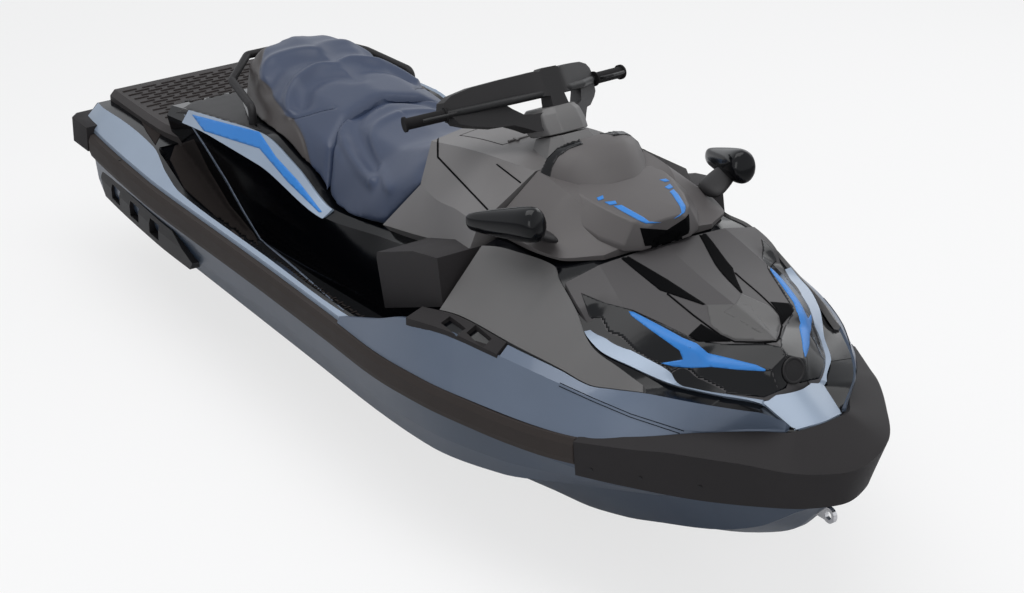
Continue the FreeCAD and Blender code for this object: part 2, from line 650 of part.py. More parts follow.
MOUNT_START, MOUNT_END = 545.0, 868.0
mount_raw = loft(
    [crease_a.moved(y=3, height=-20), crease_a.moved(y=3, height=4), crease_b.moved(height=5),
     crease_b.moved(y=-8, height=-18), crease_a.moved(y=-16, height=-26)], MOUNT_START, MOUNT_END)
slot_cuts = []
for slot_x in (655.0, 745.0):
    middle = crease_a.point(slot_x)
    slot_cuts.append(box((slot_x, middle.y - 44, middle.z - 2), (slot_x + 76, middle.y - 14, middle.z + 60)))
fender_mount = largest(carve(mount_raw, side_panel, shroud, deck_front, deck_shape, *slot_cuts))
keep("fender_mounts", Part.makeCompound([fender_mount, mirror_y(fender_mount)]))

# Gunwale strips and stern quarter panels

strip_raw = loft(
    [gunwale_low, gunwale_edge, gunwale_in, gunwale_in.moved(y=-2, height=-14),
     gunwale_edge.moved(y=-18, height=-14), gunwale_low.moved(y=-18)], DECK_REAR + 16, 560)
strip = largest(carve(strip_raw, deck_shape, side_panel, fender_mount, rail_solid))
keep("gunwale_strips", Part.makeCompound([strip, mirror_y(strip)]))

# Haunch panels on the seat pedestal

haunch_raw = loft(
    [pedestal_lines[2].moved(y=9), pedestal_lines[3].moved(y=9, height=4),
     pedestal_lines[3].moved(y=-16, height=-12), pedestal_lines[2].moved(y=-12, height=4)], -1105, -285)
haunch = largest(haunch_raw.cut(deck_shape))
keep("haunch_panels", Part.makeCompound([haunch, mirror_y(haunch)]))

# Stern: corner bumpers and the raised cover of the boarding platform

corner_length = size("corner_bumper_length")
corner = prism(
    [(STERN + 5 + corner_length, HALF_BEAM - 122), (STERN + 34, HALF_BEAM - 128), (STERN + 4, HALF_BEAM - 160),
     (STERN + 2, HALF_BEAM - 240), (STERN + 40, HALF_BEAM - 240), (STERN + 40, 440),
     (STERN + 5 + corner_length, 440)], RAIL_TOP - 62, RAIL_TOP + 24)
corner = largest(carve(corner, deck_shape, hull_shape, rail_solid, strip))
keep("stern_bumpers", Part.makeCompound([corner, mirror_y(corner)]))

cover_top = PLATFORM + 40
cover_low_line = lengthwise((DECK_REAR + 8, 355, 530), (-1300, 372, 530), (-1110, 340, 530))
cover_lines = [cover_low_line, cover_low_line.moved(height=cover_top - 548),
               cover_low_line.moved(y=-18, height=cover_top - 530)]
cover_raw = loft(both_sides(cover_lines), DECK_REAR + 8, -1110)
socket_r = size("socket_radius")
SOCKET_WALL = 9.0
socket_x = size("socket_x")
socket_half = size("socket_spacing") / 2.0
socket_holes, sockets = [], []
for side in (1, -1):
    base = Vec(socket_x, side * socket_half, cover_top - size("socket_depth"))
    socket_holes.append(Part.makeCylinder(socket_r + SOCKET_WALL, 100, base))
    ring = Part.makeCylinder(socket_r + SOCKET_WALL - 0.2, size("socket_depth"), base)
    sockets.append(ring.cut(Part.makeCylinder(socket_r, 100, base + Vec(0, 0, -10))))
rear_cover = largest(carve(cover_raw, deck_shape, *socket_holes))
keep("rear_cover", rear_cover)
keep("cargo_sockets", Part.makeCompound(sockets))

# Console between the seat and the hood, with the glove box

console_lines = [
    FeatureLine([(0, -20, 252, 598), (30, 230, 262, 640), (60, 400, 280, 690), (100, 572, 310, 730)]),
    FeatureLine([(0, -20, 300, 648), (30, 230, 320, 702), (60, 400, 354, 750), (100, 572, 392, 806)]),
    FeatureLine([(0, 100, 243, 802), (30, 250, 286, 815), (60, 400, 320, 845), (100, 572, 364, 866)]),
    FeatureLine([(0, 48, 168, 905), (30, 235, 180, 945), (60, 400, 180, 968), (100, 572, 172, 982)]),
    FeatureLine([(0, 36, 0, 922), (30, 230, 0, 957), (60, 400, 0, 976), (100, 572, 0, 985)])]
console_half = console_lines[:-1]
console_raw = loft(
    console_half + [console_lines[-1]] + [line.mirrored() for line in reversed(console_half)], 0, 100)
GLOVE_REAR, GLOVE_FRONT, GLOVE_HALF, GLOVE_FLOOR = 96.0, 316.0, 104.0, 840.0
glove_pocket = box((GLOVE_REAR, -GLOVE_HALF, GLOVE_FLOOR), (GLOVE_FRONT, GLOVE_HALF, 1100))
console = carve(console_raw, deck_shape, deck_front, shroud, mirror_y(shroud), glove_pocket)
GLOVE_SEAM = 5.0
glove_axis = Vec(GLOVE_FRONT - GLOVE_SEAM, 0, console_lines[4].point(45).z - 2)
KNUCKLE_HALF, KNUCKLE_WIDTH = 50.0, 8.0
glove_pin = size("hinge_pin_radius")
for side in (1, -1):
    inner, outer = sorted((side * KNUCKLE_HALF, side * (KNUCKLE_HALF + KNUCKLE_WIDTH)))
    console = console.fuse(box((glove_axis.x - 7, inner, glove_axis.z - 14), (GLOVE_FRONT + 8, outer, glove_axis.z + 5)))
console = largest(console.cut(Part.makeCylinder(
    glove_pin + FIT, 4 * KNUCKLE_HALF, glove_axis - Vec(0, 2 * KNUCKLE_HALF, 0), Vec(0, 1, 0))).removeSplitter())
keep("console", console)
glove_skin = loft(
    [console_lines[3], console_lines[4], console_lines[3].mirrored(),
     console_lines[3].mirrored().moved(height=-13), console_lines[4].moved(height=-13),
     console_lines[3].moved(height=-13)], 0, 100)
glove_reach = GLOVE_HALF - GLOVE_SEAM
glove_lid = glove_skin.common(box(
    (GLOVE_REAR + GLOVE_SEAM, -glove_reach, 800), (GLOVE_FRONT - GLOVE_SEAM, glove_reach, 1100)))
for side in (1, -1):
    inner, outer = sorted((side * (KNUCKLE_HALF - 3), side * (KNUCKLE_HALF + KNUCKLE_WIDTH + 3)))
    glove_lid = glove_lid.cut(box((glove_axis.x - 14, inner, 800), (GLOVE_FRONT, outer, 1100)))
glove_lid = largest(glove_lid.fuse(Part.makeCylinder(
    glove_pin, 2 * glove_reach - 40, glove_axis - Vec(0, glove_reach - 20, 0), Vec(0, 1, 0))))
keep("glovebox_lid", glove_lid)

# Hood lid over the bow store, and the gauge visor at its rear

LID_START = 580.0
LID_END = 905.0
lid_base = BIN_TOP + FIT
lid_low = lengthwise((LID_START, 318, lid_base), (717, 312, lid_base), (837, 284, lid_base), (LID_END, 186, lid_base))
lid_edge = lengthwise((LID_START, 326, lid_base + 24), (717, 316, lid_base + 16), (837, 285, lid_base + 8),
                      (LID_END, 186, lid_base + 14))
lid_fold = lengthwise((LID_START, 168, 985), (717, 172, 970), (837, 136, 902), (LID_END, 104, 862))
lid_crown = lengthwise((LID_START, 0, 978), (717, 0, 966), (837, 0, 902), (LID_END, 0, 858))
lid_half = [lid_low, lid_edge, lid_fold]
lid_raw = loft(lid_half + [lid_crown] + [line.mirrored() for line in reversed(lid_half)], LID_START, LID_END)
lid_inner = [lid_low.moved(y=-70, height=-5), lid_edge.moved(y=-70, height=-10), lid_fold.moved(y=-24, height=-16)]
lid_hollow = loft(
    lid_inner + [lid_crown.moved(height=-16)] + [line.mirrored() for line in reversed(lid_inner)],
    LID_START + 20, LID_END - 36)
lid_pin_half = LID_KNUCKLE_HALF + LID_KNUCKLE_WIDTH
lid_tongue = box((LID_END - 12, -LID_KNUCKLE_HALF + 5, hinge.z - 5), (hinge.x, LID_KNUCKLE_HALF - 5, hinge.z + 5))
storage_lid = lid_raw.cut(lid_hollow).fuse([lid_tongue, Part.makeCylinder(
    lid_pin, 2 * lid_pin_half, hinge - Vec(0, lid_pin_half, 0), Vec(0, 1, 0))])
storage_lid = largest(storage_lid.removeSplitter())
keep("storage_lid", storage_lid)

# Mirrors: wedge housings on the lid's flanks

mirror_rear = [(588, 424, 922), (590, 385, 940), (600, 285, 956), (604, 285, 848), (592, 408, 886)]
mirror_front = [(668, 384, 912), (676, 360, 930), (700, 288, 950), (712, 322, 847), (676, 372, 884)]
mirror_lines = []
for rear, front in zip(mirror_rear, mirror_front):
    middle = tuple(0.4 * a + 0.6 * b for a, b in zip(rear, front))
    mirror_lines.append(FeatureLine([
        (0,) + rear, (60, middle[0] - 4, middle[1] + 9, middle[2]), (100,) + front]))
mirror_raw = loft(mirror_lines, 0, 100)

# Visor over the instruments, carried by the lid

visor_low = lengthwise((LID_START + 5, 176, 974), (717, 150, 962))
visor_edge = lengthwise((LID_START + 5, 162, 1004), (707, 118, 980))
visor_fold = lengthwise((LID_START + 5, 118, 992), (700, 84, 975))
visor_crown = lengthwise((LID_START + 5, 0, 1006), (697, 0, 977))
visor_half = [visor_low, visor_edge, visor_fold]
visor_raw = loft(visor_half + [visor_crown] + [line.mirrored() for line in reversed(visor_half)],
                 LID_START + 5, 697)
gauge_visor = largest(visor_raw.cut(lid_raw))
keep("gauge_visor", gauge_visor)
mirror = largest(mirror_raw.cut(lid_raw))
keep("mirrors", Part.makeCompound([mirror, mirror_y(mirror)]))

# Knee pods at the front of the footwells

pod_outline = [(300, 552), (598, 668), (572, 804), (452, 782), (264, 712), (262, 690)]
pod = side_prism(pod_outline, 322, 500)
knee_pod = largest(carve(pod, deck_shape, deck_front, console, shroud, side_panel, fender_mount, strip))
keep("knee_pods", Part.makeCompound([knee_pod, mirror_y(knee_pod)]))

# Seats

rider_lines = [
    FeatureLine([(0, -22, 240, 600), (50, -220, 250, 560), (100, -352, 250, 560)]),
    FeatureLine([(0, -22, 297, 652), (25, -120, 306, 628), (50, -220, 309, 608), (75, -300, 307, 594),
                 (100, -350, 300, 604)]),
    FeatureLine([(0, 96, 240, 806), (25, -50, 268, 746), (50, -190, 262, 720), (75, -310, 256, 735),
                 (100, -400, 252, 760)]),
    FeatureLine([(0, 50, 158, 900), (25, -60, 154, 845), (50, -190, 150, 806), (75, -340, 150, 810),
                 (100, -470, 150, 826)]),
    FeatureLine([(0, 40, 0, 914), (25, -60, 0, 852), (50, -190, 0, 820), (75, -340, 0, 826), (100, -510, 0, 852)])]
rider_half = rider_lines[:-1]
rider_raw = loft(rider_half + [rider_lines[-1]] + [line.mirrored() for line in reversed(rider_half)], 0, 100)
rider_seat = largest(carve(rider_raw, deck_shape, console, haunch, mirror_y(haunch)))
keep("rider_seat", rider_seat)
passenger_lines = [
    FeatureLine([(0, -354, 250, 570), (40, -620, 240, 680), (75, -860, 200, 690), (100, -985, 150, 670)]),
    FeatureLine([(0, -352, 300, 606), (40, -620, 304, 742), (75, -860, 268, 736), (100, -990, 216, 716)]),
    FeatureLine([(0, -402, 252, 760), (40, -620, 236, 792), (75, -860, 210, 832), (100, -1020, 184, 840)]),
    FeatureLine([(0, -472, 150, 826), (40, -640, 150, 845), (75, -860, 150, 870), (100, -1035, 130, 884)]),
    FeatureLine([(0, -512, 0, 852), (40, -650, 0, 870), (75, -860, 0, 894), (100, -1045, 0, 904)])]
passenger_half = passenger_lines[:-1]
passenger_raw = loft(
    passenger_half + [passenger_lines[-1]] + [line.mirrored() for line in reversed(passenger_half)], 0, 100)
passenger_seat = largest(carve(
    passenger_raw, deck_shape, rider_seat, haunch, mirror_y(haunch), rear_cover))
keep("passenger_seat", passenger_seat)


# Tubes: straight runs joined by tangent arcs


def tube_path(points, radius):
    """A wire through the points, each inner corner rounded by one radius."""
    edges = []
    start = points[0]
    for i in range(1, len(points) - 1):
        before = (points[i - 1] - points[i]).normalize()
        after = (points[i + 1] - points[i]).normalize()
        half = before.getAngle(after) / 2.0
        back = radius / math.tan(half)
        first = points[i] + before * back
        second = points[i] + after * back
        centre = points[i] + (before + after).normalize() * (radius / math.sin(half))
        middle = centre + (points[i] - centre).normalize() * radius
        edges.append(Part.LineSegment(start, first).toShape())
        edges.append(Part.Arc(first, middle, second).toShape())
        start = second
    edges.append(Part.LineSegment(start, points[-1]).toShape())
    return Part.Wire(edges)


def tube(points, bend, radius):
    """A round bar along a rounded path."""
    path = tube_path(points, bend)
    ring = Part.Wire(Part.makeCircle(radius, points[0], points[1] - points[0]))
    return path.makePipeShell([ring], True, False)


HANDLE_BAR = 13.0


def on_pedestal(x):
    """Height just over the pedestal's top for a foot at x."""
    return pedestal_lines[3].point(x + HANDLE_BAR).z + FIT


HANDLE_POINTS = [
    Vec(-780, 300, on_pedestal(-780)), Vec(-780, 300, 786), Vec(-985, 256, 808), Vec(-1086, 140, 842)]
handle_far = [Vec(p.x, -p.y, p.z) for p in reversed(HANDLE_POINTS)]
handle = tube(HANDLE_POINTS + handle_far, 24.0, HANDLE_BAR)
POST_X, POST_Y, POST_TOP = -1086.0, 96.0, 842.0
for side in (1, -1):
    post_foot = on_pedestal(POST_X)
    handle = handle.fuse(Part.makeCylinder(HANDLE_BAR - 1, POST_TOP - post_foot, Vec(POST_X, side * POST_Y, post_foot)))
keep("grab_handle", handle)


# Pieces made of sketches and features, bound to the sheet


def body_of(label, x, y, height):
    """A body whose origin is set by sheet expressions, in keel heights."""
    body = doc.addObject("PartDesign::Body", label)
    body.Label = label
    body.setExpression(".Placement.Base.x", x)
    body.setExpression(".Placement.Base.y", y)
    body.setExpression(".Placement.Base.z", "%s - Sheet.draft" % height)
    PARTS.append(body)
    return body


def outline(body, name, role, corners, lift=None):
    """A closed sketch with every corner bound by two expressions."""
    drawing = body.newObject("Sketcher::SketchObject", name)
    plane = [f for f in body.Origin.OriginFeatures if f.Role == role][0]
    drawing.AttachmentSupport = (plane, [""])
    drawing.MapMode = "FlatFace"
    if lift is not None:
        drawing.setExpression(".AttachmentOffset.Base.z", lift)
    spots = [tuple(float(drawing.evalExpression(c)) for c in corner) for corner in corners]
    count = len(corners)
    for i in range(count):
        drawing.addGeometry(Part.LineSegment(Vec(*spots[i], 0), Vec(*spots[(i + 1) % count], 0)), False)
    for i in range(count):
        drawing.addConstraint(Sketcher.Constraint("Coincident", i, 2, (i + 1) % count, 1))
    for i, corner in enumerate(corners):
        for kind, letter, place in (("DistanceX", "x", 0), ("DistanceY", "y", 1)):
            index = drawing.addConstraint(Sketcher.Constraint(kind, -1, 1, i, 1, spots[i][place]))
            drawing.renameConstraint(index, "%s%d" % (letter, i))
            drawing.setExpression("Constraints.%s%d" % (letter, i), corner[place])
    return drawing


def revolve(body, name, corners, cut=False):
    """A profile in the XZ plane turned about the body's X axis."""
    drawing = outline(body, name + "_profile", "XZ_Plane", corners)
    doc.recompute()
    feature = body.newObject("PartDesign::Groove" if cut else "PartDesign::Revolution", name)
    feature.Profile = drawing
    feature.ReferenceAxis = (drawing, ["H_Axis"])
    feature.Angle = 360.0
    doc.recompute()
    return feature


def pad(body, name, role, corners, length, lift=None, symmetric=False, reverse=False):
    """A sketch pushed out by a length."""
    drawing = outline(body, name + "_profile", role, corners, lift)
    feature = body.newObject("PartDesign::Pad", name)
    feature.Profile = drawing
    feature.setExpression("Length", length)
    feature.Midplane = symmetric
    feature.Reversed = reverse
    doc.recompute()
    return feature


BORE = "Sheet.pump_bore"
OUTER = "Sheet.pump_bore + Sheet.pump_wall"
REAR = "-Sheet.pump_length"
pump = body_of("pump_housing", "Sheet.pump_front", "0", "Sheet.pump_height")
revolve(pump, "barrel", [
    ("-Sheet.fit", BORE), ("-Sheet.fit", OUTER + " + 16"), ("-14", OUTER + " + 16"), ("-14", OUTER),
    (REAR, OUTER), (REAR, BORE)])
vane = pad(pump, "stator_vane", "YZ_Plane", [
    ("-3", "24"), ("3", "24"), ("3", BORE + " + 2"), ("-3", BORE + " + 2")], "84", lift=REAR)
ring = pump.newObject("PartDesign::PolarPattern", "stator_vanes")
ring.Originals = [vane]
ring.Axis = (pump.Origin.OriginFeatures[0], [""])
ring.Angle = 360.0
ring.Occurrences = 6
pump.Tip = ring
doc.recompute()
revolve(pump, "bearing", [
    (REAR, "Sheet.shaft_radius + Sheet.fit"), (REAR, "30"), (REAR + " + 84", "34"),
    (REAR + " + 84", "Sheet.shaft_radius + Sheet.fit")])

venturi = body_of("venturi", "Sheet.pump_front", "0", "Sheet.pump_height")
V_END = "-Sheet.pump_length - Sheet.venturi_length"
revolve(venturi, "cone", [
    (REAR, BORE), (REAR, OUTER), (REAR + " - 14", OUTER), (REAR + " - 46", "Sheet.jet_radius + 13"),
    (V_END, "Sheet.jet_radius + 8"), (V_END, "Sheet.jet_radius"), (REAR + " - 46", "Sheet.jet_radius + 3")])
PIN_X = "-Sheet.pump_length - Sheet.venturi_length + 8"
GATE_X = "-Sheet.pump_length - 27"
for side, sign in (("upper", ""), ("lower", "-")):
    pad(venturi, side + "_ear", "XZ_Plane", [
        (PIN_X + " - 16", sign + "92"), (PIN_X + " + 64", sign + "92"), (PIN_X + " + 82", sign + "60"),
        (REAR + " - 2", sign + "60"), (REAR + " - 2", sign + "102"), (PIN_X + " - 16", sign + "102")],
        "36", symmetric=True)


def round_feature(body, name, role, x, y, radius, length, lift=None, symmetric=False, cut=False):
    """A disc pushed out or cut in by a length."""
    drawing = body.newObject("Sketcher::SketchObject", name + "_profile")
    plane = [f for f in body.Origin.OriginFeatures if f.Role == role][0]
    drawing.AttachmentSupport = (plane, [""])
    drawing.MapMode = "FlatFace"
    if lift is not None:
        drawing.setExpression(".AttachmentOffset.Base.z", lift)
    spot = [float(drawing.evalExpression(c)) for c in (x, y, radius)]
    drawing.addGeometry(Part.Circle(Vec(spot[0], spot[1], 0), UP, spot[2]), False)
    for kind, label, expression, value in (
            ("DistanceX", "x", x, spot[0]), ("DistanceY", "y", y, spot[1]), ("Radius", "radius", radius, spot[2])):
        if kind == "Radius":
            index = drawing.addConstraint(Sketcher.Constraint(kind, 0, value))
        else:
            index = drawing.addConstraint(Sketcher.Constraint(kind, -1, 1, 0, 3, value))
        drawing.renameConstraint(index, label)
        drawing.setExpression("Constraints." + label, expression)
    feature = body.newObject("PartDesign::Pocket" if cut else "PartDesign::Pad", name)
    feature.Profile = drawing
    feature.setExpression("Length", length)
    feature.Midplane = symmetric
    doc.recompute()
    return feature


round_feature(venturi, "nozzle_pin_hole", "XY_Plane", PIN_X, "0", "Sheet.nozzle_pin_radius + Sheet.fit",
              "400", symmetric=True, cut=True)
round_feature(venturi, "gate_bosses", "XZ_Plane", GATE_X, "0", "14", "252", symmetric=True)
round_feature(venturi, "gate_pins", "XZ_Plane", GATE_X, "0", "Sheet.gate_pin_radius", "280", symmetric=True)
revolve(venturi, "waterway", [
    (REAR + " + 1", "0"), (REAR + " + 1", BORE), (REAR, BORE), (REAR + " - 46", "Sheet.jet_radius + 3"),
    (V_END, "Sheet.jet_radius"), (V_END + " - 1", "Sheet.jet_radius"), (V_END + " - 1", "0")], cut=True)

PIVOT_X = "Sheet.pump_front - Sheet.pump_length - Sheet.venturi_length + 8"
nozzle = body_of("steering_nozzle", PIVOT_X, "0", "Sheet.pump_height")
N_END = "-Sheet.nozzle_length"
revolve(nozzle, "cone", [
    ("8", "78"), ("8", "86"), ("-10", "86"), (N_END + " + 10", "71"), (N_END + " + 10", "74"),
    (N_END, "74"), (N_END, "60")])
round_feature(nozzle, "pins", "XY_Plane", "0", "0", "Sheet.nozzle_pin_radius", "208", symmetric=True)
pad(nozzle, "cable_arm", "XY_Plane", [
    ("-38", "66"), ("-6", "70"), ("-10", "104"), ("-22", "112"), ("-34", "104")], "10", symmetric=True)
revolve(nozzle, "waterway", [
    ("9", "0"), ("9", "78"), ("8", "78"), (N_END, "60"), (N_END + " - 1", "60"), (N_END + " - 1", "0")], cut=True)
round_feature(nozzle, "cable_hole", "XY_Plane", "-22", "101", "4.3", "40", symmetric=True, cut=True)

# Impeller: hub and shaft turned in one, and blades that wind round the hub with raked edges

tip = size("pump_bore") - size("impeller_gap")
shaft_r = size("shaft_radius")
HUB = 30.0
HUB_FRONT, HUB_REAR = -46.0, -236.0
SHAFT_FRONT = 236.0
BLADE_FRONT, BLADE_REAR, WRAP = -54.0, -206.0, 118.0
FRONT_RAKE, REAR_RAKE = 0.22, 0.18


def blade_line(bite, lead, reach):
    """A line wound round the hub, from bite mm above its skin to reach mm further out in the middle."""
    knots = []
    for k in range(13):
        way = k / 12.0
        front = min(1.0, way / FRONT_RAKE)
        rear = min(1.0, (1.0 - way) / REAR_RAKE)
        rise = front ** 2 * (3 - 2 * front) * rear ** 2 * (3 - 2 * rear)
        radius = HUB + bite + reach * rise
        angle = math.radians(lead + WRAP * way)
        knots.append((100.0 * way, BLADE_FRONT + (BLADE_REAR - BLADE_FRONT) * way,
                      radius * math.cos(angle), radius * math.sin(angle)))
    return FeatureLine(knots)


hub_profile = [
    (SHAFT_FRONT, 0), (SHAFT_FRONT, shaft_r), (HUB_FRONT + 26, shaft_r), (HUB_FRONT, HUB), (HUB_REAR, HUB),
    (HUB_REAR, shaft_r), (-size("pump_length"), shaft_r), (-size("pump_length"), 0)]
impeller_shape = Part.Face(Part.makePolygon(
    [Vec(x, 0, radius) for x, radius in hub_profile + hub_profile[:1]])).revolve(Vec(0, 0, 0), Vec(1, 0, 0), 360)
blade_count = int(size("impeller_blades"))
for lead in [360.0 * k / blade_count for k in range(blade_count)]:
    impeller_shape = impeller_shape.fuse(loft([
        blade_line(-4, lead - 7, 0), blade_line(1, lead - 2, tip - HUB - 1), blade_line(1, lead + 2, tip - HUB - 1),
        blade_line(-4, lead + 7, 0)], 0, 100))
impeller = keep("impeller", largest(impeller_shape))
impeller.setExpression(".Placement.Base.x", "Sheet.pump_front")
impeller.setExpression(".Placement.Base.z", "Sheet.pump_height - Sheet.draft")

# Reverse gate: a curved shell on two arms, drawn in its stowed place above the jet

gate_r = size("gate_radius")
gate_skin = size("gate_thickness")
gate_half = size("gate_half_width")
gate_x = pump_front - size("pump_length") - 27
GATE_LOW, GATE_HIGH = 24.0, 84.0


def from_pivot(radius, angle):
    """A side-view corner, its angle measured up from straight aft."""
    return (gate_x - radius * math.cos(math.radians(angle)), axis_height + radius * math.sin(math.radians(angle)))


def gate_ring(inner, outer, low, high):
    """A curved strip of the gate between two y values."""
    base = Vec(gate_x, low, axis_height)
    whole = Part.makeCylinder(outer, high - low, base, Vec(0, 1, 0))
    return whole.cut(Part.makeCylinder(inner, high - low, base, Vec(0, 1, 0)))


gate_sector = side_prism(
    [from_pivot(100, 54), from_pivot(400, GATE_LOW), from_pivot(400, 54), from_pivot(400, GATE_HIGH)],
    -gate_half, gate_half)
gate = gate_ring(gate_r, gate_r + gate_skin, -gate_half, gate_half)
for rib in (-52, 44):
    gate = gate.fuse(gate_ring(gate_r, gate_r + gate_skin + 7, rib, rib + 8))
gate = gate.common(gate_sector)
ARM = 8.0
gate_pin = size("gate_pin_radius")
for low in (gate_half - ARM, -gate_half):
    arm = side_prism([from_pivot(18, -40), from_pivot(gate_r + gate_skin, GATE_LOW + 8),
                      from_pivot(gate_r + gate_skin, GATE_HIGH - 8), from_pivot(18, 148)], low, low + ARM)
    eye = Part.makeCylinder(20, ARM, Vec(gate_x, low, axis_height), Vec(0, 1, 0))
    hole = Part.makeCylinder(gate_pin + FIT, ARM, Vec(gate_x, low, axis_height), Vec(0, 1, 0))
    gate = gate.fuse([arm, eye]).cut(hole)
keep("reverse_gate", largest(gate.removeSplitter()))

# Ride plate under the pump, and the bars across the intake

PLATE_REAR, PLATE_FRONT = -1415.0, pump_front - 2.0
plate_half = tunnel_half - FIT
deadrise = (96.0 - 0.0) / (225.0 - half_pad)


def vee(y):
    """Height of the hull's bottom at a distance from the keel pad."""
    return max(abs(y) - half_pad, 0.0) * deadrise


PLATE = 10.0
plate_edges = [(half_pad, 0.0), (plate_half, 0.0), (plate_half, PLATE), (half_pad, PLATE)]
plate_lines = [lengthwise((PLATE_REAR, y, vee(y) + up + 1), (PLATE_FRONT, y, vee(y) + up + 1)) for y, up in plate_edges]
ride_plate = loft(plate_lines[:2] + plate_lines[2:] + [
    line.mirrored() for line in (plate_lines[3], plate_lines[2], plate_lines[1], plate_lines[0])], PLATE_REAR, PLATE_FRONT)
keep("ride_plate", ride_plate)
bars = []
for y in (-60.0, -30.0, 0.0, 30.0, 60.0):
    low = vee(abs(y) + 4) + 4
    bars.append(box((pump_front, y - 4, low), (pump_front + 600, y + 4, low + 16)).common(intake))
keep("intake_grate", Part.makeCompound([largest(bar) for bar in bars]))

# Sponsons: fins low on each quarter with three raked openings

fin_raw = loft([rail_line(160, 262), rail_line(46, 262), rail_line(34, 330), rail_line(38, 376), rail_line(160, 376)],
               -1555, -795)
fin_raw = fin_raw.common(side_prism(
    [(-1555, 262), (-830, 266), (-798, 300), (-930, 366), (-1530, 376), (-1555, 340)], 200, 620))
fin_slots = [side_prism([(x, 286), (x + 76, 286), (x + 104, 350), (x + 28, 350)], 200, 620)
             for x in (-1470.0, -1300.0, -1130.0)]
sponson = largest(carve(fin_raw, hull_shape, *fin_slots))
keep("sponsons", Part.makeCompound([sponson, mirror_y(sponson)]))

# Eyes for lines and for the trailer's winch

eye_hole = size("eye_hole_radius")
EYE_RIM = 10.0
EYE_HALF = 6.0


def eye_lug(centre, axis, foot, carriers):
    """A lug round a hole, its foot run back into what carries it."""
    ring = Part.makeCylinder(eye_hole + EYE_RIM, 2 * EYE_HALF, centre - axis * EYE_HALF, axis)
    hole = Part.makeCylinder(eye_hole, 4 * EYE_HALF, centre - axis * (2 * EYE_HALF), axis)
    return largest(carve(ring.fuse(foot), *carriers).cut(hole))


SIDEWAYS = Vec(0, 1, 0)
bow_eye_at = Vec(1636, 0, 336)
eyes = [eye_lug(bow_eye_at, SIDEWAYS, box(
    (1560, -EYE_HALF, 318), (1640, EYE_HALF, 356)), [hull_shape, bumper])]
EYE_Y, EYE_HEIGHT = 406.0, 385.0
for side in (1, -1):
    spot = Vec(TRANSOM - 22, side * EYE_Y, EYE_HEIGHT)
    foot = box((TRANSOM - 22, spot.y - EYE_HALF, EYE_HEIGHT - 20), (TRANSOM + 4, spot.y + EYE_HALF, EYE_HEIGHT + 20))
    eyes.append(eye_lug(spot, SIDEWAYS, foot, [hull_shape]))
tow_at = Vec(DECK_REAR - 13, 0, 506)
eyes.append(eye_lug(tow_at, UP, box(
    (DECK_REAR - 13, -20, 500), (DECK_REAR + 4, 20, 512)), [deck_shape]))
keep("line_eyes", Part.makeCompound(eyes))

# Boarding step: a folding stirrup on the transom

step_r = size("step_tube_radius")
step_y = size("step_centre")
step_half = size("step_width") / 2.0
step_axis = Vec(TRANSOM - 22, step_y, size("step_hinge_height"))
step_top = step_axis.z + size("step_length") - step_r
BRACKET = 12.0
step_pin = 8.0
leg_points = [Vec(step_axis.x, step_y - step_half, step_axis.z), Vec(step_axis.x, step_y - step_half, step_top),
              Vec(step_axis.x, step_y + step_half, step_top), Vec(step_axis.x, step_y + step_half, step_axis.z)]
step = tube(leg_points, 34.0, step_r)
pin_reach = step_half + step_r + BRACKET
step = step.fuse([
    Part.makeCylinder(step_pin, 2 * pin_reach, Vec(step_axis.x, step_y - pin_reach, step_axis.z), SIDEWAYS),
    Part.makeCylinder(step_r + 2, 2 * step_half - 76, Vec(step_axis.x, step_y - step_half + 38, step_top), SIDEWAYS),
    Part.makeSphere(step_r, leg_points[0]), Part.makeSphere(step_r, leg_points[3])])
keep("boarding_step", largest(step.removeSplitter()))
brackets = []
for side in (1, -1):
    inner, outer = sorted((step_y + side * (pin_reach - BRACKET + 0.5), step_y + side * pin_reach))
    plate = box((step_axis.x - 14, inner, step_axis.z - 14), (TRANSOM, outer, step_axis.z + 14))
    brackets.append(plate.cut(Part.makeCylinder(
        step_pin + FIT, 60, Vec(step_axis.x, inner - 20, step_axis.z), SIDEWAYS)))
keep("step_brackets", Part.makeCompound(brackets))

# Steering: everything below is modelled about the steering axis and set on the raked column

rake = size("column_rake")
column = FreeCAD.Placement(Vec(size("column_x"), 0, size("column_height")), FreeCAD.Rotation(SIDEWAYS, -rake))


def on_column(node):
    """Set a piece on the raked column by the sheet's own values."""
    node.Placement = FreeCAD.Placement(Vec(0, 0, 0), FreeCAD.Rotation(SIDEWAYS, -rake))
    node.setExpression(".Placement.Base.x", "Sheet.column_x")
    node.setExpression(".Placement.Base.z", "Sheet.column_height - Sheet.draft")
    return node


def mirrored_outline(half, height):
    """A full plan outline from its port half, front to rear."""
    port = [(x, y, height) for x, y in half]
    return port + [(x, -y, height) for x, y in reversed(half) if y > 0.0]


STEM, STEM_LOW = 14.0, -24.0
shroud_low = mirrored_outline([(118, 66), (44, 112), (-74, 100), (-100, 52)], -70)
shroud_high = mirrored_outline([(60, 44), (28, 62), (-56, 56), (-80, 34)], 12)
column_raw = tower(shroud_low, shroud_high)
column_raw = column_raw.cut(Part.makeCylinder(STEM + FIT, 80, Vec(0, 0, STEM_LOW - 2)))
column_raw = column_raw.transformed(column.toMatrix(), True)
column_shroud = largest(carve(column_raw, console, box((572, -400, 700), (900, 400, 1300))))
keep("column_shroud", column_shroud)

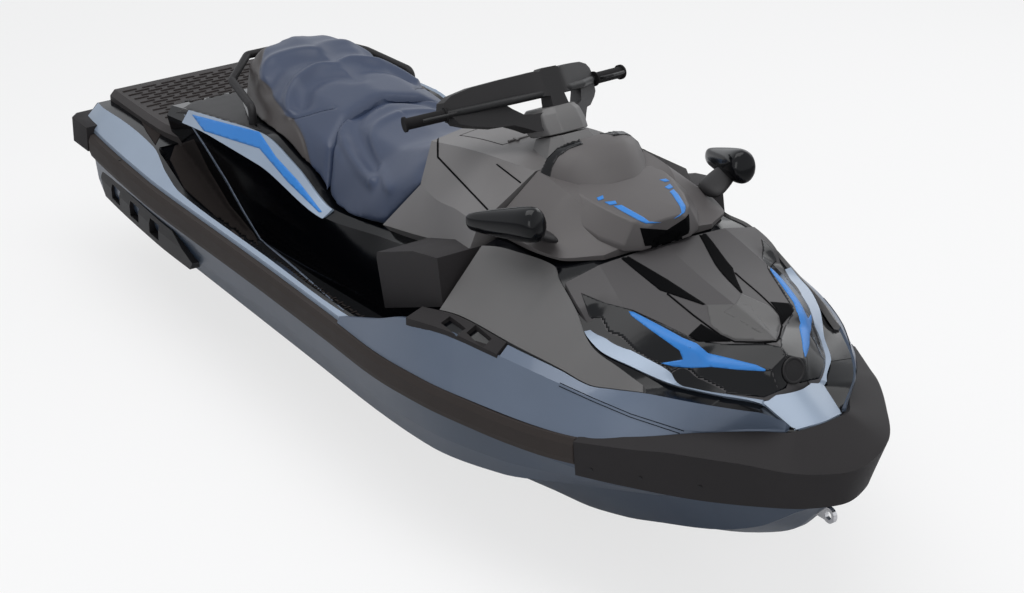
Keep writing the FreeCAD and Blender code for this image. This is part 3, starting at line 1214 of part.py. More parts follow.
BAR_LEVEL = 134.0
bar_r = size("bar_radius")
grip_start = Vec(-170.5, size("grip_reach"), BAR_LEVEL)
grip_way = Vec(-31.5, 129.0, 0).normalize()
grip_ahead = Vec(grip_way.y, -grip_way.x, 0)
grip_length = size("grip_length")
bar_points = [grip_start + grip_way * (grip_length - 6), grip_start - grip_way * 8, Vec(-30, 120, BAR_LEVEL),
              Vec(0, 50, BAR_LEVEL)]
bar_far = [Vec(q.x, -q.y, q.z) for q in reversed(bar_points)]
handlebar = tube(bar_points + bar_far, 26.0, bar_r)
on_column(keep("handlebar", handlebar))
head = tower(mirrored_outline([(61, 45), (28, 63), (-57, 57), (-82, 35)], 18),
             mirrored_outline([(38, 36), (8, 50), (-52, 42), (-70, 26)], 118))
head = head.fuse(Part.makeCylinder(STEM, 60, Vec(0, 0, STEM_LOW)))
on_column(keep("steering_head", largest(head.cut(handlebar).removeSplitter())))
PAD_HALF = [(52, 0), (46, 60), (0, 140), (-150, 228), (-186, 222), (-100, 130), (-62, 0)]
PAD_TOP_HALF = [(42, 0), (36, 54), (-8, 130), (-148, 217), (-174, 213), (-98, 121), (-54, 0)]
pad_shape = tower(mirrored_outline(PAD_HALF, 118), mirrored_outline(PAD_HALF, 136))
pad_shape = pad_shape.fuse(tower(mirrored_outline(PAD_HALF, 136), mirrored_outline(PAD_TOP_HALF, 152)))
on_column(keep("bar_pad", largest(pad_shape.cut(handlebar).removeSplitter())))


def along_grip(along, ahead, up=0.0):
    """A point beside the port grip."""
    return grip_start + grip_way * along + grip_ahead * ahead + Vec(0, 0, up)


POD_LENGTH = 26.0
pod_front = 44.0
pod_block = [along_grip(-POD_LENGTH, 8), along_grip(-2, 8), along_grip(-2, pod_front), along_grip(-POD_LENGTH, pod_front)]
pod_shape = tower([tuple(q - Vec(0, 0, 13)) for q in pod_block], [tuple(q + Vec(0, 0, 13)) for q in pod_block])
pod_shape = pod_shape.fuse(Part.makeCylinder(20, POD_LENGTH - 2, along_grip(-POD_LENGTH, 0), grip_way))
pod_shape = largest(carve(pod_shape, handlebar, pad_shape).removeSplitter())
on_column(keep("control_pods", Part.makeCompound([pod_shape, mirror_y(pod_shape)])))
lever = tube([along_grip(-14, pod_front), along_grip(-14, pod_front + 14), along_grip(16, pod_front + 20),
              along_grip(84, pod_front + 4)], 5.0, 4.5)
on_column(keep("hand_levers", Part.makeCompound([lever, mirror_y(lever)])))

grip = doc.addObject("PartDesign::Body", "port_grip")
revolve(grip, "sleeve", [
    ("0", "Sheet.bar_radius"), ("0", "Sheet.grip_radius + 5"), ("5", "Sheet.grip_radius + 5"),
    ("5", "Sheet.grip_radius"), ("Sheet.grip_length - 7", "Sheet.grip_radius"),
    ("Sheet.grip_length - 7", "Sheet.grip_radius + 5"), ("Sheet.grip_length", "Sheet.grip_radius + 5"),
    ("Sheet.grip_length", "0"), ("Sheet.grip_length - 6", "0"), ("Sheet.grip_length - 6", "Sheet.bar_radius")])
grip.Placement = FreeCAD.Placement(grip_start, FreeCAD.Rotation(Vec(1, 0, 0), grip_way))
other_grip = doc.addObject("Part::Mirroring", "starboard_grip")
other_grip.Source = grip
other_grip.Normal = SIDEWAYS
grips = doc.addObject("Part::Compound", "grips")
grips.Links = [grip, other_grip]
grips.Label = "grips"
PARTS.append(on_column(grips))

# Every object must have solved, and every piece must be sound, before anything is written

doc.recompute()
for item in doc.Objects:
    if "Invalid" in item.State or "Error" in item.State:
        raise ValueError("%s did not solve" % item.Label)
os.makedirs("parts", exist_ok=True)
for node in PARTS:
    if node.Shape.isNull() or not node.Shape.isValid():
        raise ValueError("%s has no sound shape" % node.Label)
    node.Shape.exportStep("parts/%s.step" % node.Label)
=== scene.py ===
# %% [markdown]
# # Dressing a personal watercraft
# The craft's solids come from a CAD model that is loaded as a fixed frame: hull, deck, panels, seats,
# steering and jet pump are already in place, in metres, with +X to the bow, +Y to port and +Z up.
# This lesson gives them paint, grain, upholstery, stripes, mats, screws and a studio.
# Nothing of the frame is moved. New pieces lie on it, and each one rides on a body of the frame.

# %% Load the frame
import math
from contextlib import contextmanager
import bpy
import bmesh
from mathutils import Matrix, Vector, geometry
from mathutils.bvhtree import BVHTree


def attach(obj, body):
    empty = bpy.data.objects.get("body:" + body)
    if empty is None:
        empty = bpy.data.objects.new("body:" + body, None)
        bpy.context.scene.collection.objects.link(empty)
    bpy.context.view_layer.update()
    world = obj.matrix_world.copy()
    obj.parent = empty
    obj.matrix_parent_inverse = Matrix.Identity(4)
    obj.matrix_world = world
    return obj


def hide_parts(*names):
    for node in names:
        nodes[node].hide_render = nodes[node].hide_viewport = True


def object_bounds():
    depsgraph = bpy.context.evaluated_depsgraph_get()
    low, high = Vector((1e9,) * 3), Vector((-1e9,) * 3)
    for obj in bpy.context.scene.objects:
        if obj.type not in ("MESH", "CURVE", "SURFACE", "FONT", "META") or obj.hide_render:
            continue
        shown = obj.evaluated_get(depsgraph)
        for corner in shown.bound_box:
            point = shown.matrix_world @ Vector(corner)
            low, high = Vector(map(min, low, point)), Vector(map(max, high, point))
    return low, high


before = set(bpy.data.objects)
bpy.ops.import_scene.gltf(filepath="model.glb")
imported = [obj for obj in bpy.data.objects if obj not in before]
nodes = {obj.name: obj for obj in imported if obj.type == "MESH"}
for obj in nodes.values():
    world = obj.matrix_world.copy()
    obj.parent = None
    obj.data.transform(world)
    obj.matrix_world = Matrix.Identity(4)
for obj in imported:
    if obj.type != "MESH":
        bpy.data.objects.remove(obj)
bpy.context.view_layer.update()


def into_scene(name, data):
    """A new object for a mesh, a lamp or a camera."""
    thing = bpy.data.objects.new(name, data)
    bpy.context.scene.collection.objects.link(thing)
    return thing


def tuned(thing, **settings):
    """The thing itself, with some of its settings made."""
    for label, value in settings.items():
        setattr(thing, label, value)
    return thing


# %% [markdown]
# ## The camera
# A product photograph of a craft this long is taken from some distance with a long lens, so that the
# bow doesn't look swollen. The place, the heading and the focal length below bring the keel line, the
# rail and both grips to where the picture has them. The same numbers also give the line of sight
# through any point of the picture, which later puts a stripe where it is seen.

# %% Make the camera
WIDE, TALL = 1024, 593
SENSOR = 36.0
EYE = Vector((5.74226, -3.91054, 3.2642))
HEADING, TILT = math.radians(144.71), math.radians(-24.68)
FOCAL = 2494.94

ahead = Vector((math.cos(HEADING) * math.cos(TILT), math.sin(HEADING) * math.cos(TILT), math.sin(TILT)))
aside = Vector((math.sin(HEADING), -math.cos(HEADING), 0.0))
upward = aside.cross(ahead)
lens = tuned(bpy.data.cameras.new("studio_camera"), sensor_fit="HORIZONTAL", sensor_width=SENSOR,
             lens=FOCAL * SENSOR / WIDE)
camera = into_scene("studio_camera", lens)
camera.location = EYE
camera.rotation_euler = (-ahead).to_track_quat("Z", "Y").to_euler()
bpy.context.scene.camera = camera
print("lens %.1f mm, %.2f m from the craft's middle" % (lens.lens, EYE.length))

# %% [markdown]
# ## Helpers for surfaces
# Stripes, mats and trim are thin skins that lie on a CAD surface. A ray that is cast at the surface
# finds the point and the normal there, and a small lift keeps the skin from flickering with it. Blender's
# BVH tree answers such rays quickly. The outline of a skin is filled with a fine net by a
# Delaunay triangulation, so that the skin bends with the surface under it.

# %% Find surfaces
surface_trees = {}


def tree_over(*pieces):
    """A search tree over the meshes of one or more objects."""
    corners, faces = [], []
    for piece in pieces:
        first = len(corners)
        corners += [v.co.copy() for v in piece.data.vertices]
        faces += [[first + i for i in p.vertices] for p in piece.data.polygons]
    return BVHTree.FromPolygons(corners, faces)


def surface(*names):
    """The search tree over some CAD nodes, built once and kept."""
    if names not in surface_trees:
        surface_trees[names] = tree_over(*(nodes[name] for name in names))
    return surface_trees[names]


def in_picture(tree):
    """A caster along the lines of sight: picture points in, surface point and normal out."""
    def cast(u, v):
        way = ahead * FOCAL + aside * (u - WIDE / 2) - upward * (v - TALL / 2)
        return tree.ray_cast(EYE, way.normalized())[:2]
    return cast


def from_above(tree):
    """A caster straight down: plan points (x, y) in metres."""
    return lambda x, y: tree.ray_cast(Vector((x, y, 2.0)), Vector((0, 0, -1)))[:2]


print("the hood's nose is seen at", in_picture(surface("hood", "deck_front"))(793, 370)[0])

# %% [markdown]
# ## Skins
# A stripe could be painted with a mask in the material below it. A skin of its own keeps a sharp edge
# from near by and can be taken off, so each one here is a net of triangles with a thin wall that sinks
# into the surface. Where a ray misses, or a triangle would bridge a gap, the face is left out.

# %% Fill an outline with a skin
CROWDED = 0.45  # share of the step: a grid point nearer to the rim than that is left out
BRIDGE = 0.09  # metres: a longer edge would join two surfaces
FINE = 1.6  # pixels: the net's step in narrow lines


def smooth_shaded(mesh):
    """All faces shaded smooth."""
    mesh.polygons.foreach_set("use_smooth", [True] * len(mesh.polygons))


def new_piece(name, corners, faces, finish, body):
    """A mesh object with its place in its mesh, its finish and its body."""
    mesh = bpy.data.meshes.new(name)
    mesh.from_pydata([tuple(c) for c in corners], [], faces)
    mesh.update()
    smooth_shaded(mesh)
    mesh.materials.append(finish)
    piece = into_scene(name, mesh)
    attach(piece, body)
    return piece


def inside(point, outline):
    """True where a point lies within a closed outline."""
    odd = False
    for (ax, ay), (bx, by) in zip(outline, outline[1:] + outline[:1]):
        if (ay > point[1]) != (by > point[1]) and point[0] < ax + (point[1] - ay) * (bx - ax) / (by - ay):
            odd = not odd
    return odd


def divided(outline, step):
    """A closed outline's corners, with points between them about a step apart."""
    rim = []
    for a, b in zip(outline, outline[1:] + outline[:1]):
        count = max(1, round(math.dist(a, b) / step))
        rim += [Vector(a).lerp(Vector(b), k / count) for k in range(count)]
    return rim


def filling(outline, rim, step, holes=()):
    """Grid points inside an outline and outside its holes, not crowding the rim."""
    low = [min(p[i] for p in outline) for i in (0, 1)]
    high = [max(p[i] for p in outline) for i in (0, 1)]
    points = []
    for i in range(int((high[0] - low[0]) / step) + 1):
        for j in range(int((high[1] - low[1]) / step) + 1):
            spot = Vector((low[0] + (i + 0.5) * step, low[1] + (j + 0.5) * step))
            if inside(spot, outline) and not any(inside(spot, hole) for hole in holes):
                if min((spot - r).length for r in rim) > CROWDED * step:
                    points.append(spot)
    return points


def skin_net(outline, step, cast, lift):
    """Corners and faces of a net that fills the outline and lies on the surface."""
    rim = divided(outline, step)
    points = rim + filling(outline, rim, step)
    flat, _, triangles = geometry.delaunay_2d_cdt(points, [], [list(range(len(rim)))], 1, 1e-7)[:3]
    hits = [cast(*p) for p in flat]
    corners = [hit[0] + hit[1] * lift if hit[0] is not None else None for hit in hits]
    faces = []
    for face in triangles:
        if any(corners[i] is None for i in face):
            continue
        a, b, c = (corners[i] for i in face)
        if max((a - b).length, (b - c).length, (c - a).length) > BRIDGE:
            continue
        outward = (b - a).cross(c - a).dot(sum((hits[i][1] for i in face), Vector()))
        faces.append(list(face) if outward > 0 else list(reversed(face)))
    used = sorted({i for face in faces for i in face})
    place = {old: new for new, old in enumerate(used)}
    return [corners[i] for i in used], [[place[i] for i in face] for face in faces]


def mirrored(corners, faces):
    """A net and its mirror image on the other side of the boat."""
    count = len(corners)
    other = [Vector((c.x, -c.y, c.z)) for c in corners]
    return corners + other, faces + [[count + i for i in reversed(face)] for face in faces]


def skin(name, outline, cast, finish, body="craft", step=2.0, lift=0.0012, wall=0.0024):
    """A thin skin on a surface and its mirror image, with a wall that sinks into it."""
    corners, faces = mirrored(*skin_net(outline, step, cast, lift))
    piece = new_piece(name, corners, faces, finish, body)
    tuned(piece.modifiers.new("wall", "SOLIDIFY"), thickness=wall, offset=-1.0)
    return piece


def ribbon_outline(points, half):
    """The outline of a line drawn with a given half width."""
    left, right = [], []
    for i, p in enumerate(points):
        before, after = Vector(points[max(i - 1, 0)]), Vector(points[min(i + 1, len(points) - 1)])
        along = (after - before).normalized()
        across = Vector((-along.y, along.x)) * (half[i] if isinstance(half, (list, tuple)) else half)
        left.append(tuple(Vector(p) + across))
        right.append(tuple(Vector(p) - across))
    return left + right[::-1]


print("rim points of a line 10 long:", len(divided(ribbon_outline([(0, 0), (10, 0)], 0.5), FINE)))

# %% [markdown]
# ## Helpers for mouldings
# A plate is an outline with holes between a front and a back surface, as a cover's wall is. A loft joins
# a row of sections that have the same number of points. A softened copy takes a CAD solid, merges its
# loose triangles to flat faces and rounds the edges between them with a Bevel modifier.

# %% Plates, lofts and softened copies
def rounded(piece, width, limit=32.0, segments=3):
    """A bevel on the sharp edges, with the flats kept flat in the shading."""
    tuned(piece.modifiers.new("rounding", "BEVEL"), width=width, segments=segments, limit_method="ANGLE",
          angle_limit=math.radians(limit), harden_normals=True)
    return piece


@contextmanager
def reworked(old, new=None):
    """A mesh opened for bmesh operators, and written back or to a new mesh at the end."""
    shape = bmesh.new()
    shape.from_mesh(old)
    yield shape
    shape.to_mesh(new or old)
    shape.free()


def shell(name, corners, faces, finish, body):
    """A closed form with its normals turned outwards."""
    piece = new_piece(name, corners, faces, finish, body)
    with reworked(piece.data) as shape:
        bmesh.ops.recalc_face_normals(shape, faces=shape.faces)
    return piece


def plate(name, outline, holes, place, step, finish, body):
    """An outline with holes, between a front and a back surface: place(u, v, front)."""
    loops, spots = [], []
    for rim in [divided(loop, step) for loop in [outline] + holes]:
        loops.append(list(range(len(spots), len(spots) + len(rim))))
        spots += rim
    spots += filling(outline, spots, step, holes)
    flat, _, triangles = geometry.delaunay_2d_cdt(spots, [], loops, 1, 1e-7)[:3]
    kept = []
    for face in triangles:
        middle = sum((flat[i] for i in face), Vector((0.0, 0.0))) / 3.0
        if not any(inside(middle, hole) for hole in holes):
            kept.append(list(face))
    count = len(flat)
    corners = [place(p.x, p.y, True) for p in flat] + [place(p.x, p.y, False) for p in flat]
    edges = {(face[i], face[(i + 1) % 3]) for face in kept for i in range(3)}
    walls = [[a, b, b + count, a + count] for a, b in edges if (b, a) not in edges]
    faces = kept + [[i + count for i in reversed(face)] for face in kept] + walls
    return shell(name, corners, faces, finish, body)


def loft(name, sections, finish, body):
    """A closed form through sections, each a closed row of the same number of points."""
    around = len(sections[0])
    corners = [point for section in sections for point in section]
    faces = [list(range(around)), [len(corners) - around + i for i in range(around)]]
    for row in range(len(sections) - 1):
        for i in range(around):
            a, b = row * around + i, row * around + (i + 1) % around
            faces.append([a, b, b + around, a + around])
    return shell(name, corners, faces, finish, body)


def ring(middle, one, other, count):
    """Points on an ellipse, from its middle and its two half axes."""
    turns = [math.tau * k / count for k in range(count)]
    return [middle + one * math.cos(turn) + other * math.sin(turn) for turn in turns]


def twinned(piece):
    """The piece with its mirror image on the other side of the boat, in one mesh."""
    with reworked(piece.data) as shape:
        whole = list(shape.verts) + list(shape.edges) + list(shape.faces)
        twin = bmesh.ops.duplicate(shape, geom=whole)["geom"]
        for v in [g for g in twin if isinstance(g, bmesh.types.BMVert)]:
            v.co.y = -v.co.y
        bmesh.ops.recalc_face_normals(shape, faces=shape.faces)
    return piece


def subdivided(piece, levels):
    """A Subdivision Surface with the same levels in the view and in the render."""
    tuned(piece.modifiers.new("smooth", "SUBSURF"), levels=levels, render_levels=levels)


def softened(name, node, width, finish, body="craft"):
    """A copy of a CAD solid with round edges, which stands for it."""
    mesh = bpy.data.meshes.new(name)
    with reworked(nodes[node].data, mesh) as shape:
        bmesh.ops.remove_doubles(shape, verts=shape.verts, dist=0.0001)
        bmesh.ops.dissolve_limit(shape, angle_limit=math.radians(3.0), verts=shape.verts, edges=shape.edges)
    mesh.materials.clear()
    mesh.materials.append(finish)
    smooth_shaded(mesh)
    piece = into_scene(name, mesh)
    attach(piece, body)
    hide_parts(node)
    return rounded(piece, width)


print("helpers for plates, lofts and softened copies are ready")

# %% [markdown]
# ## Effects that several finishes share
# Paint, moulded plastic, rubber and vinyl differ in colour and gloss, but all of them show small
# unevenness. Three shader node groups hold the effects: a fine grain for a Bump node, a cloudy change of
# tone, and a change of roughness as hands and spray leave it. Each material places the group
# with values of its own, and the Principled shader stays in the material.

# %% Node groups
def shader_group(name, inputs, outputs):
    """An empty shader group with named inputs and outputs."""
    group = bpy.data.node_groups.new(name, "ShaderNodeTree")
    for label, kind, value in inputs:
        socket = group.interface.new_socket(label, in_out="INPUT", socket_type=kind)
        socket.default_value = value
    for label, kind in outputs:
        group.interface.new_socket(label, in_out="OUTPUT", socket_type=kind)
    return group, group.nodes.new("NodeGroupInput"), group.nodes.new("NodeGroupOutput")


def feed(tree, node, inputs):
    """Give a node's inputs numbers, colours or other nodes' sockets."""
    for label, value in inputs.items():
        if isinstance(value, bpy.types.NodeSocket):
            tree.links.new(value, node.inputs[label])
        else:
            node.inputs[label].default_value = value


def fed(tree, kind, inputs, **settings):
    """A new node with its settings made and its inputs fed."""
    node = tuned(tree.nodes.new(kind), **settings)
    feed(tree, node, inputs)
    return node


def sums(tree, operation, *values):
    """The result of a Math node."""
    return fed(tree, "ShaderNodeMath", dict(enumerate(values)), operation=operation).outputs[0]


def noise(tree, scale, detail, roughness=0.5):
    """The values of a noise texture on Object coordinates."""
    place = tree.nodes.new("ShaderNodeTexCoord").outputs["Object"]
    return fed(tree, "ShaderNodeTexNoise", {
        "Vector": place, "Scale": scale, "Detail": detail, "Roughness": roughness}).outputs["Fac"]


grain, ins, outs = shader_group(
    "moulded grain", [("Scale", "NodeSocketFloat", 900.0), ("Depth", "NodeSocketFloat", 0.5)],
    [("Height", "NodeSocketFloat")])
pits = noise(grain, ins.outputs["Scale"], 3.0, 0.62)
feed(grain, outs, {"Height": sums(grain, "MULTIPLY", pits, ins.outputs["Depth"])})

cloud, ins, outs = shader_group(
    "cloudy tone",
    [("Dark", "NodeSocketColor", (0, 0, 0, 1)), ("Light", "NodeSocketColor", (1, 1, 1, 1)),
     ("Scale", "NodeSocketFloat", 6.0), ("Flake", "NodeSocketFloat", 0.0)],
    [("Color", "NodeSocketColor")])
broad, fine = noise(cloud, ins.outputs["Scale"], 2.0), noise(cloud, 2600.0, 1.0)
flakes = sums(cloud, "MULTIPLY_ADD", fine, ins.outputs["Flake"], broad)
blend = fed(cloud, "ShaderNodeMix", {
    "Factor": flakes, "A": ins.outputs["Dark"], "B": ins.outputs["Light"]}, data_type="RGBA")
feed(cloud, outs, {"Color": blend.outputs["Result"]})

handled, ins, outs = shader_group(
    "handled gloss",
    [("Roughness", "NodeSocketFloat", 0.4), ("Spread", "NodeSocketFloat", 0.06),
     ("Scale", "NodeSocketFloat", 14.0)],
    [("Roughness", "NodeSocketFloat")])
smears = sums(handled, "SUBTRACT", noise(handled, ins.outputs["Scale"], 4.0), 0.5)
uneven = sums(handled, "MULTIPLY_ADD", smears, ins.outputs["Spread"], ins.outputs["Roughness"])
feed(handled, outs, {"Roughness": uneven})
print("shader groups:", [g.name for g in (grain, cloud, handled)])

# %% [markdown]
# ## One function for all finishes
# Each finish is a Principled shader with the three groups before it. A photo texture could give the same
# unevenness, but it would need an unwrapped mesh. Noise on Object coordinates needs none and has no seams.

# %% Make a finish
PIT_DEPTH = 0.0006


def tone(red, green, blue):
    """A colour given as it looks on a screen, 0 to 255, turned to Blender's linear values."""
    shares = [c / 255 for c in (red, green, blue)]
    return tuple(((s + 0.055) / 1.055) ** 2.4 if s > 0.0404 else s / 12.92 for s in shares) + (1.0,)


def lighter(colour, share):
    """A colour with every part raised or lowered by a share."""
    return tuple(min(1.0, c * (1.0 + share)) for c in colour[:3]) + (1.0,)


def finish(name, colour, rough, metal=0.0, coat=0.0, spread=0.06, grain_size=0.0, grain_depth=0.0,
           variation=0.10, flake=0.0, sheen=0.0, patches=5.0, gleam=0.5):
    """A procedural finish: cloudy tone, handled gloss and, where asked for, a moulded grain."""
    material = bpy.data.materials.new(name)
    material.use_nodes = True
    tree = material.node_tree
    shader = tree.nodes["Principled BSDF"]
    colours = fed(tree, "ShaderNodeGroup", {
        "Dark": lighter(colour, -variation), "Light": lighter(colour, variation),
        "Scale": patches, "Flake": flake}, node_tree=cloud)
    gloss = fed(tree, "ShaderNodeGroup", {"Roughness": rough, "Spread": spread}, node_tree=handled)
    feed(tree, shader, {
        "Base Color": colours.outputs["Color"], "Roughness": gloss.outputs["Roughness"],
        "Metallic": metal, "Coat Weight": coat, "Coat Roughness": 0.06, "Sheen Weight": sheen,
        "Specular IOR Level": gleam})
    if grain_depth > 0.0:
        pits = fed(tree, "ShaderNodeGroup", {"Scale": grain_size, "Depth": grain_depth}, node_tree=grain)
        bump = fed(tree, "ShaderNodeBump", {
            "Distance": PIT_DEPTH, "Strength": 0.6, "Height": pits.outputs["Height"]})
        feed(tree, shader, {"Normal": bump.outputs["Normal"]})
    return material


print("a screen grey of 128 is", round(tone(128, 128, 128)[0], 3), "in linear light")

# %% [markdown]
# ## Paints, plastics, rubber and metals
# The lower hull has a dark blue-grey gel coat with metal flake under a clear coat. The side panels are
# the same family in a lighter slate. Bumper and rail are matt mouldings with a visible grain, the
# big shrouds and the console a satin grey, the deck and the pedestal under the seats gloss black.

# %% Finishes for the frame
hull_paint = finish("hull slate blue", tone(46, 58, 74), 0.36, metal=0.3, coat=0.25, flake=0.3,
                    variation=0.14)
panel_paint = finish("panel slate", tone(86, 98, 116), 0.38, metal=0.2, coat=0.2, flake=0.25)
light_paint = finish("ribbon light slate", tone(136, 150, 168), 0.40, metal=0.15, coat=0.15, flake=0.2)
shroud_paint = finish("shroud satin grey", tone(92, 91, 91), 0.48, metal=0.1, flake=0.2, gleam=0.35)
console_paint = finish("console satin grey", tone(100, 98, 98), 0.46, metal=0.1, flake=0.2, gleam=0.35)
hood_paint = finish("hood charcoal", tone(62, 60, 61), 0.5, flake=0.15, gleam=0.3)
lid_paint = finish("lid charcoal", tone(80, 77, 77), 0.5, flake=0.15, gleam=0.3)
gloss_black = finish("deck gloss black", tone(6, 7, 10), 0.13, spread=0.05, variation=0.05, gleam=0.22)
satin_black = finish("satin black moulding", tone(32, 31, 32), 0.5, grain_size=900, grain_depth=0.25,
                     gleam=0.2)
bumper_black = finish("bumper grained black", tone(38, 36, 37), 0.62, grain_size=620, grain_depth=0.6,
                      gleam=0.15)
rubber_black = finish("rail rubber", tone(50, 45, 43), 0.66, grain_size=500, grain_depth=0.5,
                      spread=0.12, gleam=0.15)
grip_rubber = finish("grip rubber", tone(24, 23, 24), 0.74, grain_size=500, grain_depth=0.5,
                     spread=0.12, gleam=0.12)
cover_black = finish("rear cover satin black", tone(56, 53, 53), 0.58, grain_size=760, grain_depth=0.4,
                     gleam=0.2)
mat_black = finish("traction mat", tone(42, 38, 37), 0.88, grain_size=420, grain_depth=1.0,
                   variation=0.2, gleam=0.08)
steel_black = finish("powder coated steel", tone(26, 26, 27), 0.5, metal=0.1, grain_size=1200,
                     grain_depth=0.3, gleam=0.25)
pump_metal = finish("cast alloy", tone(150, 152, 154), 0.46, metal=0.85, grain_size=520,
                    grain_depth=0.5, spread=0.14)
bright_metal = finish("polished steel", tone(198, 198, 200), 0.2, metal=1.0, spread=0.08)
iron_grey = finish("engine block grey", tone(88, 88, 88), 0.6, metal=0.5, grain_size=320, grain_depth=0.8)
accent_blue = finish("accent blue", tone(44, 118, 192), 0.42, variation=0.05, gleam=0.3)
# Near-black for the dark joints and pin lines, and for painted shade: skins in the hood's scoop and groove
# and in the lid's slot.
joint_and_shade_black = finish("joints black and painted recess shade", tone(5, 5, 6), 0.8, variation=0.05, gleam=0.04)

wearing = {
    hull_paint: ["hull"],
    panel_paint: ["side_panels"],
    light_paint: ["ribbons", "bow_panel", "gunwale_strips", "haunch_panels"],
    shroud_paint: ["shrouds", "column_shroud"],
    console_paint: ["console", "glovebox_lid"],
    hood_paint: ["hood"],
    lid_paint: ["storage_lid"],
    gloss_black: ["deck", "deck_front", "mirrors"],
    satin_black: ["gauge_visor", "steering_head", "bar_pad", "control_pods", "storage_bin", "reverse_gate",
                  "grab_handle", "sponsons"],
    bumper_black: ["bow_bumper", "stern_bumpers", "fender_mounts", "knee_pods"],
    rubber_black: ["rub_rails"],
    grip_rubber: ["grips"],
    cover_black: ["rear_cover"],
    steel_black: ["handlebar", "hand_levers", "boarding_step", "step_brackets", "cargo_sockets"],
    pump_metal: ["pump_housing", "venturi", "steering_nozzle", "ride_plate", "intake_grate"],
    bright_metal: ["impeller", "line_eyes"],
    iron_grey: ["engine_block"],
}
for paint, names in wearing.items():
    for name in names:
        nodes[name].data.materials.clear()
        nodes[name].data.materials.append(paint)
dressed = [name for names in wearing.values() for name in names]
print("dressed:", len(dressed), "left for upholstery:", sorted(set(nodes) - set(dressed)))

# %% [markdown]
# ## Seats
# The two seats are foam under a stretched, thermoformed vinyl cover. The cover is tight, so the
# foam's edges are round and its sides bulge a little between them. A slightly shrunken copy of the CAD seat
# is remeshed with small voxels, and Blender's Cloth with air pressure swells it for twenty frames.
# No point may swell by more than a few millimetres, so the underside stays nearly flat, and rounds of
# smoothing take the small wrinkles out. The moulded ridges and the seams come afterwards, as moves of the
# surface along its normals.

# %% Blow up a cushion
VOXEL = 0.0068  # metres, as are the next three
SHRINK = 0.004  # how far the copy lies inside the CAD seat before it swells
SWELL = 0.005  # the furthest a point may move in the air's pressure
PROUD = 0.003  # the furthest a point may stand out of the CAD seat
AIR_PRESSURE, AIR_FRAMES = 4.0, 20
WRINKLE_ROUNDS, RIDGE_ROUNDS = 44, 8


def applied(piece):
    """The piece's mesh with its modifiers worked in, and the modifiers gone."""
    graph = bpy.context.evaluated_depsgraph_get()
    mesh = bpy.data.meshes.new_from_object(piece.evaluated_get(graph))
    piece.modifiers.clear()
    old = piece.data
    piece.data = mesh
    bpy.data.meshes.remove(old)
    return piece


def calm(piece, rounds):
    """Even out small unevenness with rounds of smoothing."""
    tuned(piece.modifiers.new("calm", "SMOOTH"), factor=0.5, iterations=rounds)
    return applied(piece)


def cushion(name, node):
    """A stuffed copy of a CAD seat."""
    mesh = nodes[node].data.copy()
    with reworked(mesh) as shape:
        bmesh.ops.remove_doubles(shape, verts=shape.verts, dist=0.0002)
        bmesh.ops.recalc_face_normals(shape, faces=shape.faces)
    piece = into_scene(name, mesh)
    tuned(piece.modifiers.new("voxels", "REMESH"), mode="VOXEL", voxel_size=VOXEL)
    applied(piece)
    for v, normal in [(v, v.normal.copy()) for v in piece.data.vertices]:
        v.co -= normal * SHRINK
    start = [v.co.copy() for v in piece.data.vertices]
    air = piece.modifiers.new("air", "CLOTH").settings
    tuned(air, use_pressure=True, uniform_pressure_force=AIR_PRESSURE, quality=4)
    air.effector_weights.gravity = 0.0
    for step in range(1, AIR_FRAMES + 1):
        bpy.context.scene.frame_set(step)
    applied(piece)
    bpy.context.scene.frame_set(1)
    tree = surface(node)
    for v, home in zip(piece.data.vertices, start):
        move = v.co - home
        if move.length > SWELL:
            v.co = home + move.normalized() * SWELL
        near, normal, _, _ = tree.find_nearest(v.co)
        proud = (v.co - near).dot(normal)
        if proud > PROUD:
            v.co -= normal * (proud - PROUD)
    calm(piece, WRINKLE_ROUNDS)
    subdivided(piece, 1)
    applied(piece)
    print(name, "faces", len(piece.data.polygons))
    return piece


# %% [markdown]
# ## Ridges and seams
# The ridges could be sculpted by hand. Here each is a line over the picture that is laid on the CAD seat,
# and the surface rises or sinks by a bell curve of the distance to it: a ridge with a dish behind
# makes one scooped place. Drawn on one side and measured with |y|, a line serves both sides.

# %% Lines on a seat
SPLITS, EVENINGS = 6, 10
MIDLINE = 0.004  # metres: a hit beyond it lies on the other half of the seat


def on_near_side(p):
    """A point moved to the starboard side, so that one drawing serves both."""
    return Vector((p.x, -abs(p.y), p.z))


def seat_line(node, points):
    """A line that is drawn in the picture, laid on a seat."""
    cast = in_picture(surface(node))
    line = []
    for a, b in zip(points, points[1:]):
        for k in range(SPLITS):
            hit = cast(a[0] + (b[0] - a[0]) * k / SPLITS, a[1] + (b[1] - a[1]) * k / SPLITS)[0]
            if hit is not None and hit.y < MIDLINE:
                line.append(on_near_side(hit))
    for _ in range(EVENINGS):
        inner = [(a + b * 2.0 + c) / 4.0 for a, b, c in zip(line, line[1:], line[2:])]
        line = line[:1] + inner + line[-1:]
    return line


def gap_to(line, p):
    """The distance from a point to a line of close points."""
    best = 1e9
    for a, b in zip(line, line[1:]):
        span = b - a
        share = min(1.0, max(0.0, (p - a).dot(span) / max(span.length_squared, 1e-12)))
        best = min(best, (p - a - span * share).length_squared)
    return math.sqrt(best)


def emboss(piece, shapes):
    """Raise or sink the surface along lines: (line, height, half width)."""
    normals = [v.normal.copy() for v in piece.data.vertices]
    for line, height, half in shapes:
        if len(line) < 2:
            continue
        reach = 3.0 * half
        low = [min(p[i] for p in line) - reach for i in range(3)]
        high = [max(p[i] for p in line) + reach for i in range(3)]
        for v, normal in zip(piece.data.vertices, normals):
            p = on_near_side(v.co)
            if all(low[i] < p[i] < high[i] for i in range(3)):
                d = gap_to(line, p) / half
                if d < 2.6:
                    v.co += normal * height * math.exp(-d * d)


